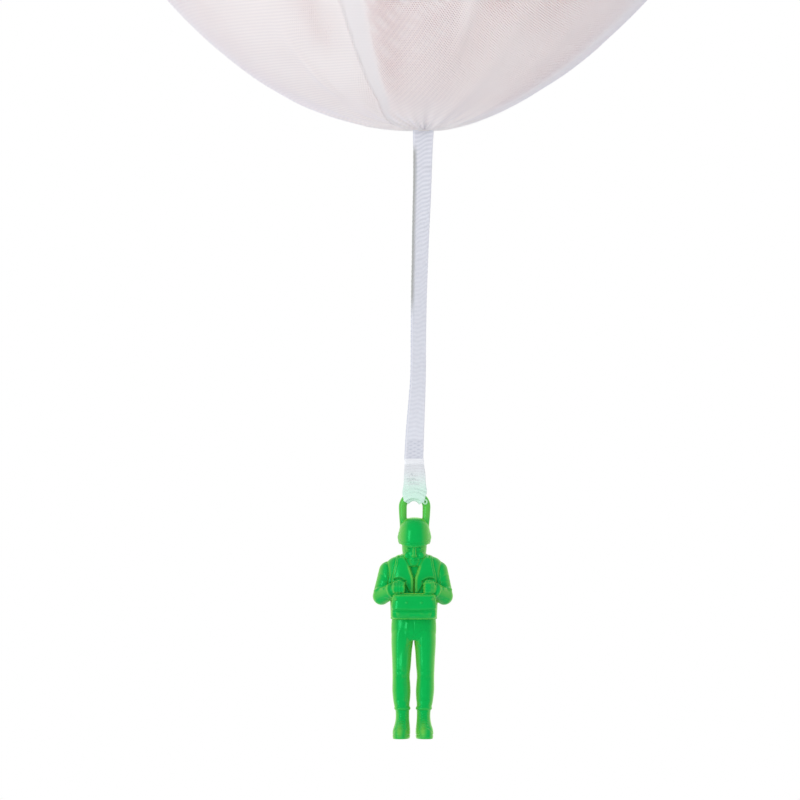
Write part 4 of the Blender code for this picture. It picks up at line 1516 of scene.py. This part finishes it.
def finish_moulding(name, mesh, thin=0.0):
    """Notes each point's share of painted yellow-green light (proud ridges, faces turned to the sides, and
    what "thin" adds), takes the mesh to its place, and hangs it up.
    """
    points = triples(mesh.vertices, "co")
    normals = triples(mesh.vertex_normals, "vector")
    ends = np.empty(len(mesh.edges) * 2, int)
    mesh.edges.foreach_get("vertices", ends)
    ends = ends.reshape(-1, 2)
    count = np.bincount(ends.ravel(), minlength=len(points)).astype(float)

    def around(values, times):
        """Each point's value from its neighbours' middle, some times over."""
        for _ in range(times):
            total = np.zeros_like(values)
            np.add.at(total, ends[:, 0], values[ends[:, 1]])
            np.add.at(total, ends[:, 1], values[ends[:, 0]])
            values = total / (count if values.ndim == 1 else count[:, None])
        return values

    # Painted light: proud ridges are paled as painted highlights, faces turned to the sides as painted rim
    # light, and "thin" adds painted light where given.
    proud = around(np.einsum("ij,ij->i", points - around(points, 12), normals), 6)
    beside = 0.80 * soft_step(np.abs(normals[:, 0]), 0.38, 0.96)
    pale = np.maximum(np.maximum(soft_step(proud, 0.04, 0.26), thin), beside)
    note_values(mesh, "edge", pale)
    points[:, 0] += figure_lean * (points[:, 2] - lean_level)
    points = points * mm + np.array((figure_offset, 0, bar_level))
    mesh.vertices.foreach_set("co", points.astype(np.float32).ravel())
    mesh.update()
    mesh.shade_smooth()
    piece = show(name, mesh, plastic)
    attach(piece, "figure")
    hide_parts("parachutist")


def mould_head():
    """Loop, helmet with its brim and ear pads, and a calm, plain face."""
    clay = ([], [])
    helmet = lay_rings(
        clay,
        [
            (-9.85, 0, 0.3, -0.3, 0.8),
            (-9.95, 0, 1.9, -2.2, 2.6),
            (-10.35, 0, 3.5, -4.1, 4.8),
            (-11.3, 0, 4.9, -5.7, 6.6),
            (-12.9, 0, 6.05, -6.9, 7.9),
            (-15.0, 0, 6.7, -7.7, 8.7),
            (-17.5, 0, 7.1, -8.0, 9.1),
            (-19.3, 0, 7.15, -8.0, 9.1),
            (-20.7, 0, 6.85, -7.8, 8.8),
            (-21.5, 0, 6.3, -7.3, 8.2),
        ],
        2.15,
    )
    shell = np.array(clay[0][helmet])
    ahead = np.maximum(-shell[:, 1] / 8, 0)
    behind = np.maximum(shell[:, 1] / 9, 0)
    shell[:, 2] -= soft_step(-shell[:, 2], 16, 21.6) * (0.75 * ahead**2 + 2.9 * behind**2)
    clay[0][helmet] = shell.tolist()
    brim = []
    for step in range(13):
        turn = radians(-78 + 13 * step)
        sag = 1.5 * cos(turn) ** 2
        brim.append((6.35 * sin(turn), -7.75 * cos(turn), -20.9 - sag))
    lay_limb(clay, brim, [0.55] * len(brim))
    face_rows = [
        (-18.0, 0, 5.2, -6.8, 6.0),
        (-21.5, 0, 5.45, -7.0, 6.0),
        (-24.0, 0, 5.4, -6.9, 5.8),
        (-26.5, 0, 5.05, -6.8, 5.2),
        (-28.4, 0, 4.45, -6.7, 4.2),
        (-30.0, 0, 3.5, -6.5, 2.6),
        (-31.1, 0, 2.3, -6.0, 0.5),
        (-31.6, 0, 1.2, -5.0, -1.5),
    ]
    lay_rings(clay, face_rows, 2.2)
    lay_limb(clay, [(0, 0.6, -27), (0, 0.8, -37)], [4.3, 4.5])
    lay_limb(clay, [(0, -6.9, -23.2), (0, -7.65, -26.3)], [0.5, 0.72])
    lay_ball(clay, (0, -7.35, -26.7), (1.15, 0.75, 0.62))
    lay_ball(clay, (0, -6.0, -30.2), (1.7, 1.05, 1.1))
    for side in (-1, 1):
        lay_ball(clay, (side * 2.35, -6.15, -23.9), (1.25, 0.85, 0.72))
        lay_ball(clay, (side * 3.1, -5.5, -26.6), (1.5, 1.15, 1.5))
        lay_ball(clay, (side * 6.6, 0.6, -18.7), (0.7, 3.2, 3.0))
    for half, ahead, z, bow in ((1.5, -6.75, -28.6, 0.15), (1.1, -6.7, -29.05, -0.10)):
        lip = [(-half, -6.35, z), (0, ahead, z + bow), (half, -6.35, z)]
        lay_limb(clay, lip, [0.28, 0.42, 0.28])
    arch = []
    for step in range(25):
        turn = pi * step / 24
        arch.append((-arch_radius * cos(turn), 0, -arch_radius + arch_radius * sin(turn)))
    leg = [(4.85, 0, -16.0), (4.95, 0, -12.7), (5.15, 0, -9.0)]
    leg_radii = [1.6, 1.58, 1.7]
    loop = [(-x, y, z) for x, y, z in leg] + arch + leg[::-1]
    before = len(clay[0])
    lay_limb(clay, loop, leg_radii + [bar_half_width] * len(arch) + leg_radii[::-1])
    for point in clay[0][before:]:
        point[1] *= bar_half_depth / bar_half_width
    mesh = moulded("head", clay, 0.158, 4)
    relief = Relief(mesh)
    for height, width, path in (
        (-0.22, 0.24, [(1.0, -24.75), (2.4, -25.0), (3.7, -24.6)]),
        (-0.16, 0.14, [(1.2, -23.95), (2.4, -24.25), (3.55, -23.9)]),
        (-0.14, 0.3, [(1.3, -27.2), (2.15, -28.2), (2.3, -29.2)]),
    ):
        relief.stroke(height, width, path, twice=True)
    for height, width, path in (
        (-0.26, 0.16, [(-1.9, -28.85), (0, -28.8), (1.9, -28.85)]),
        (-0.16, 0.28, [(-1.0, -29.75), (0, -29.9), (1.0, -29.75)]),
        (-0.2, 0.2, [(-6.0, -19.9), (-4.2, -20.7), (0, -21.3), (4.2, -20.7), (6.0, -19.9)]),
    ):
        relief.stroke(height, width, path)
    pad = [(-2.0, -16.7), (0.6, -15.7), (3.1, -16.7), (3.6, -19), (2.6, -21.0), (-1.2, -21.0), (-2.2, -19)]
    for facing in (leftward, rightward):
        relief.work_on(facing)
        relief.strap(-0.22, 0.10, pad + pad[:1])
        relief.studs(0.16, 0.9, [(0.7, -18.6)])
    relief.work_on(back)
    relief.stroke(-0.16, 0.2, [(-6, -19.4), (0, -21.0), (6, -19.4)])
    relief.stroke(0.10, 0.5, [(0, -11), (0, -19)])
    relief.press()
    x, y, z = relief.points.T
    # Painted light: the loop's posts above the helmet are paled yellow-green, standing in for light
    # through the thin plastic.
    from_line = gap_to_path(relief.points[:, (0, 2)], [(place[0], place[2]) for place in loop])
    on_loop = (1 - soft_step(from_line, 1.9, 2.5)) * (1 - soft_step(np.abs(y), 2.0, 2.6))
    finish_moulding("head_and_loop", mesh, 0.8 * on_loop * soft_step(z, -13.5, -9.0))


def mould_jacket():
    """Jacket with wide lapels, bent arms and fists, chest pack, back pack and harness."""
    clay = ([], [])
    lay_rings(
        clay,
        [
            (-54.75, 0, 9.75, -5.9, 6.0),
            (-54.0, 0, 10.2, -6.4, 6.4),
            (-46.0, 0, 10.6, -6.85, 6.85),
            (-40.0, 0, 11.3, -7.0, 7.0),
            (-34.7, 0, 12.5, -6.9, 6.9),
            (-31.2, 0, 12.6, -6.4, 6.4),
            (-29.5, 0, 12.0, -6.0, 6.0),
            (-27.9, 0, 10.2, -5.6, 5.4),
            (-26.9, 0, 7.7, -5.1, 5.0),
            (-26.2, 0, 5.5, -4.6, 4.7),
            (-25.9, 0, 3.0, -3.0, 3.5),
        ],
        2.5,
    )
    lay_rings(
        clay,
        [
            (-43.2, 0, 8.3, -11.4, 0),
            (-43.6, 0, 8.9, -12.2, 0),
            (-45.0, 0, 9.25, -12.5, 0),
            (-49.0, 0, 9.8, -12.8, 0),
            (-52.4, 0, 10.15, -12.6, 0),
            (-53.8, 0, 9.8, -12.0, 0),
            (-54.3, 0, 9.0, -11.0, 0),
        ],
        5,
    )
    lay_rings(
        clay,
        [
            (-31.0, 0, 8.2, 0, 9.2),
            (-31.6, 0, 9.2, 0, 10.7),
            (-33.5, 0, 9.7, 0, 11.5),
            (-45.0, 0, 9.9, 0, 12.0),
            (-51.0, 0, 9.8, 0, 11.9),
            (-53.6, 0, 9.2, 0, 11.2),
            (-54.3, 0, 8.3, 0, 10.0),
        ],
        5,
    )
    collar = []
    for step in range(17):
        turn = radians(-58 + 296 * step / 16)
        dip = 2.6 * max(0, -sin(turn)) ** 1.5
        collar.append((5.1 * cos(turn), 0.4 + 5.3 * sin(turn), -27.0 - dip))
    lay_limb(clay, collar, [1.15] * len(collar))
    for side in (-1, 1):
        shoulder = (side * 11.0 - 0.35, 0.3, -33.5)
        elbow = (side * 13.85 - 0.5, -1.7, -44.6)
        cuff = (side * 9.8 - 0.2, -6.7, -42.2)
        fist = (side * 6.7, -9.9, -40.7)
        lay_limb(clay, [shoulder, elbow, cuff], [4.25, 3.9, 3.25])
        lay_limb(clay, [cuff, fist], [2.45, 2.2])
        lay_ball(clay, fist, (2.75, 2.1, 2.7))
        aim = (Vector(fist) - Vector(cuff)).to_track_quat("Z", "Y").to_matrix()
        rim = []
        for step in range(25):
            turn = 2 * pi * step / 24
            rim.append(Vector(cuff) + aim @ Vector((3.0 * cos(turn), 3.0 * sin(turn), 0.9)))
        lay_limb(clay, rim, [0.55] * len(rim))
    for x in (-4.85, -6.2, -7.55, -8.75):
        lay_limb(clay, [(x, -10.5, -38.6), (x, -11.75, -40.0), (x, -11.6, -42.2)], [0.62, 0.78, 0.7])
    for z in (-38.75, -40.0, -41.25, -42.4):
        finger = [(8.7, -10.6, z), (7.0, -11.75, z), (5.3, -11.6, z), (4.6, -10.7, z)]
        lay_limb(clay, finger, [0.6, 0.72, 0.75, 0.6])
    lay_limb(clay, [(8.0, -9.0, -38.4), (5.6, -10.6, -37.9)], [0.9, 0.8])
    right_thumb = [(-8.4, -8.6, -38.6), (-6.6, -9.6, -38.0), (-4.6, -10.2, -38.8)]
    lay_limb(clay, right_thumb, [0.9, 0.85, 0.75])
    mesh = moulded("jacket", clay, 0.216, 5)
    relief = Relief(mesh)

    # Chest: lapels, the opening between them, and the harness over the shoulders.
    relief.work_on(front, (2.0, 8.0))
    lapel = [
        (2.3, -31.3), (4.4, -27.2), (6.9, -27.6), (8.3, -35.2), (8.6, -36.7), (6.4, -36.3),
        (3.3, -37.8), (4.0, -38.9), (1.6, -43.2), (0.35, -43.2), (0.5, -36.5),
    ]
    relief.field(0.6, lapel, twice=True)
    opening = [(2.1, -31.2), (0.32, -36.6), (0.22, -43.4)]
    relief.field(-1.6, [(-2.1, -31.2)] + opening + [(-0.22, -43.4), (-0.32, -36.6)])
    relief.stroke(-0.4, 0.3, [(8.5, -37.2), (6.4, -36.85), (3.9, -38.1)], twice=True)
    harness = [(7.2, -26.8), (7.9, -31.0), (8.8, -35.4), (9.3, -39.5)]
    relief.strap(0.42, 0.55, harness, twice=True)
    relief.stroke(-0.2, 0.25, [(x + 0.9, z) for x, z in harness], twice=True)
    relief.work_on(back, (0, 8.5))
    relief.strap(0.42, 0.75, [(7.0, -26.4), (7.4, -29.0), (7.6, -32.0)], twice=True)

    # Chest pack: a flap with four studs over a pocket.
    relief.work_on(front, (9.0, 14.0))
    flap = [
        (-9.3, -43.9), (9.3, -43.9), (9.75, -49.4), (8.6, -50.1), (0, -50.35),
        (-8.6, -50.1), (-9.75, -49.4),
    ]
    relief.field(0.42, flap)
    relief.stroke(0.28, 0.32, [(-8.6, -44.05), (0, -43.95), (8.6, -44.05)])
    relief.stroke(-0.3, 0.26, [(-9.2, -50.75), (0, -50.95), (9.2, -50.75)])
    relief.studs(0.34, 0.62, [(-7.6, -45.6), (-3.3, -47.1), (3.2, -47.1), (7.6, -45.6)])
    relief.field(0.3, [(-7.6, -51.3), (7.6, -51.3), (7.2, -53.3), (-7.2, -53.3)], edge=0.4)
    relief.stroke(0.12, 0.5, [(-7.0, -51.8), (-4.9, -52.5), (-2.4, -52.4)])
    relief.stroke(0.12, 0.5, [(3.0, -51.9), (4.9, -52.4), (6.6, -52.1)])
    relief.stroke(0.16, 0.35, [(9.0, -45.5), (9.36, -52.5)], twice=True)

    # Back pack: two flaps, three studs and a side seam.
    relief.work_on(back, (9.5, 14.0))
    back_flap = [(-6.4, -33.2), (6.4, -33.2), (6.8, -44.5), (5.6, -45.8)]
    relief.field(0.4, back_flap + [(-5.6, -45.8), (-6.8, -44.5)])
    relief.studs(0.32, 0.6, [(-4.6, -44.3), (0, -44.3), (4.6, -44.3)])
    relief.field(0.32, [(-6.9, -47.3), (6.9, -47.3), (6.5, -52.8), (-6.5, -52.8)])
    relief.stroke(-0.25, 0.25, [(8.5, -32.6), (8.7, -43), (8.4, -53.2)], twice=True)
    for facing in (leftward, rightward):
        relief.work_on(facing)
        relief.stroke(-0.3, 0.22, [(7.6, -32.2), (7.6, -53.8)])
        relief.stroke(-0.22, 0.25, [(-9.6, -44.6), (-9.4, -53.6)])

    # Sleeves: folds at the elbow, and the crease between arm and body.
    sleeve_folds = [
        (0.34, 0.42, [(17.4, -42.2), (15.6, -41.2), (12.6, -41.4)]),
        (-0.26, 0.42, [(17.4, -41.0), (15.0, -40.0), (12.3, -40.0)]),
        (0.16, 0.45, [(16.6, -38.2), (14.6, -37.6), (12.6, -38.4)]),
        (-0.16, 0.45, [(15.6, -34.6), (13.6, -35.4), (12.2, -37.2)]),
        (-0.14, 0.4, [(16.2, -46.8), (13.8, -45.6), (11.6, -45.4)]),
    ]
    armpit = [(12.2, -29.4), (11.4, -33.0), (11.2, -37.5), (11.6, -41.0)]
    for facing, folds_near, armpit_near, share in (
        (front, (-2.0, 7.5), (-1.0, 7.0), 1),
        (back, (-3.0, 5.0), (-1.0, 8.0), 0.8),
    ):
        relief.work_on(facing, folds_near)
        for height, width, path in sleeve_folds:
            relief.stroke(height * share, width, path, twice=True)
        relief.work_on(facing, armpit_near)
        relief.stroke(-0.42, 0.34, armpit, twice=True)
    upright = 1 - np.abs(relief.normals[:, 2])
    relief.lift += 0.3 * np.exp(-(((relief.points[:, 2] + 54.55) / 0.4) ** 2)) * upright
    relief.press()
    finish_moulding("jacket_and_packs", mesh)


def mould_trousers():
    """Hips and straight legs, over laced boots with a proud cuff."""
    clay = ([], [])
    lay_rings(
        clay,
        [
            (-53.6, 0, 9.3, -5.6, 5.6),
            (-55.0, 0, 9.75, -5.9, 6.0),
            (-58.0, 0, 9.95, -6.0, 6.4),
            (-61.0, 0, 9.9, -5.8, 6.5),
            (-63.0, 0, 9.5, -5.2, 6.0),
            (-64.2, 0, 8.4, -4.2, 5.0),
        ],
        2.6,
    )
    leg_rows = [
        (-57.0, 4.8, 3.6, -4.4, 4.6),
        (-59.5, 4.9, 4.6, -5.4, 5.7),
        (-62.0, 4.97, 4.85, -5.65, 6.0),
        (-65.0, 5.05, 4.8, -5.6, 5.8),
        (-68.5, 5.18, 4.52, -5.5, 5.4),
        (-72.0, 5.2, 4.3, -5.4, 5.0),
        (-75.5, 5.25, 4.12, -5.35, 4.6),
        (-79.6, 5.38, 3.85, -5.1, 4.3),
        (-83.0, 5.3, 3.95, -4.5, 4.6),
        (-86.5, 5.2, 4.05, -4.2, 4.75),
        (-90.0, 5.1, 3.8, -4.0, 4.4),
        (-92.3, 5.05, 3.5, -3.8, 4.0),
        (-94.5, 4.75, 3.2, -3.5, 3.6),
    ]
    boot_rows = [
        (-93.5, 4.75, 3.2, -3.6, 3.6),
        (-93.8, 4.75, 3.55, -3.95, 3.9),
        (-94.7, 4.75, 3.6, -4.0, 3.95),
        (-95.1, 4.7, 3.1, -3.5, 3.5),
        (-97.5, 4.65, 3.0, -3.5, 3.4),
        (-99.5, 4.68, 3.1, -4.2, 3.4),
        (-101.5, 4.8, 3.4, -6.1, 3.55),
        (-103.3, 4.95, 3.75, -8.1, 3.7),
        (-105.0, 5.0, 3.85, -9.0, 3.8),
        (-106.4, 5.0, 3.8, -9.2, 3.8),
        (-107.45, 5.0, 3.65, -9.0, 3.6),
    ]
    for side in (-1, 1):
        lay_rings(clay, leg_rows, 2.25, side)
        boot = lay_rings(clay, boot_rows, 2.35, side)
        for point in clay[0][boot]:
            point[0] += side * 0.10 * max(-point[1] - 2, 0)
    mesh = moulded("trousers", clay, 0.214, 3)
    relief = Relief(mesh)
    for height, width, path in (
        (0.24, 0.75, [(-2.7, -56.4), (-3.6, -64.5), (-4.7, -72), (-4.7, -82), (-4.1, -91)]),
        (-0.10, 0.8, [(-5.9, -61), (-6.4, -70), (-6.3, -78)]),
        (0.14, 0.9, [(5.4, -60), (5.7, -69), (5.9, -80), (5.4, -89)]),
        (-0.2, 0.22, [(0, -55.6), (0.1, -62.6)]),
        (-0.2, 0.55, [(0.4, -63.0), (2.4, -60.8), (5.0, -59.2)]),
        (-0.2, 0.55, [(-0.4, -63.0), (-2.2, -61.0), (-4.8, -59.4)]),
        (-0.2, 0.4, [(-0.3, -64.6), (-2.4, -66.2)]),
        (-0.2, 0.4, [(0.3, -64.6), (2.6, -66.4)]),
    ):
        relief.stroke(height, width, path)
    knee_folds = [
        (-0.10, 0.6, [(3.4, -77.6), (4.9, -78.3), (6.6, -77.9)]),
        (-0.11, 0.6, [(3.7, -80.5), (5.2, -81.3), (6.9, -80.9)]),
        (-0.12, 0.5, [(3.0, -90.7), (4.6, -91.3), (6.6, -90.6)]),
        (0.12, 0.4, [(3.4, -92.3), (5.2, -92.8), (6.9, -92.3)]),
    ]
    for facing in (front, back):
        relief.work_on(facing)
        for height, width, path in knee_folds:
            relief.stroke(height, width, path, twice=True)
    relief.stroke(-0.12, 0.5, [(4.6, -58.6), (4.9, -63.0), (4.6, -66.4)], twice=True)
    relief.stroke(-0.3, 0.35, [(0, -54.8), (0, -63)])
    seat_pocket = [(2.6, -57.0), (7.4, -57.0), (7.2, -61.4), (5.0, -62.2), (2.8, -61.4)]
    relief.field(0.22, seat_pocket, twice=True)
    for facing in (leftward, rightward):
        relief.work_on(facing)
        relief.stroke(-0.16, 0.22, [(0.4, -55.6), (0.2, -68), (-0.2, -80), (0, -92.6)])

    # Boots: crossed laces, a toe seam, and the welt over the sole.
    relief.work_on(front)
    for side in (-1, 1):
        middle = side * 4.8
        for step in range(5):
            z = -96.2 - 1.15 * step
            for half in (1.25 + 0.1 * step, -1.25 - 0.1 * step):
                relief.strap(0.16, 0.2, [(middle - half, z), (middle + half, z - 0.9)])
        toe = side * 5.4
        toe_seam = [(-3.2, -104.6), (-1.6, -102.7), (1.6, -102.7), (3.2, -104.6)]
        relief.stroke(-0.14, 0.3, [(toe + x, z) for x, z in toe_seam])
    x, y, z = relief.points.T
    upright = 1 - np.abs(relief.normals[:, 2])
    relief.lift -= 0.24 * np.exp(-(((z + 105.75) / 0.22) ** 2)) * upright
    relief.press()
    # Painted highlights: the toes of the boots are paled yellow-green on their front faces.
    painted_toe_highlights = np.zeros(len(x))
    for middle in (-6.1, 4.3):
        painted_toe_highlights += np.exp(-(((x - middle) / 1.3) ** 2) - ((z + 103.9) / 3.0) ** 2)
    finish_moulding("trousers_and_boots", mesh, painted_toe_highlights * (relief.normals[:, 1] < 0))


mould_head()
mould_jacket()
mould_trousers()
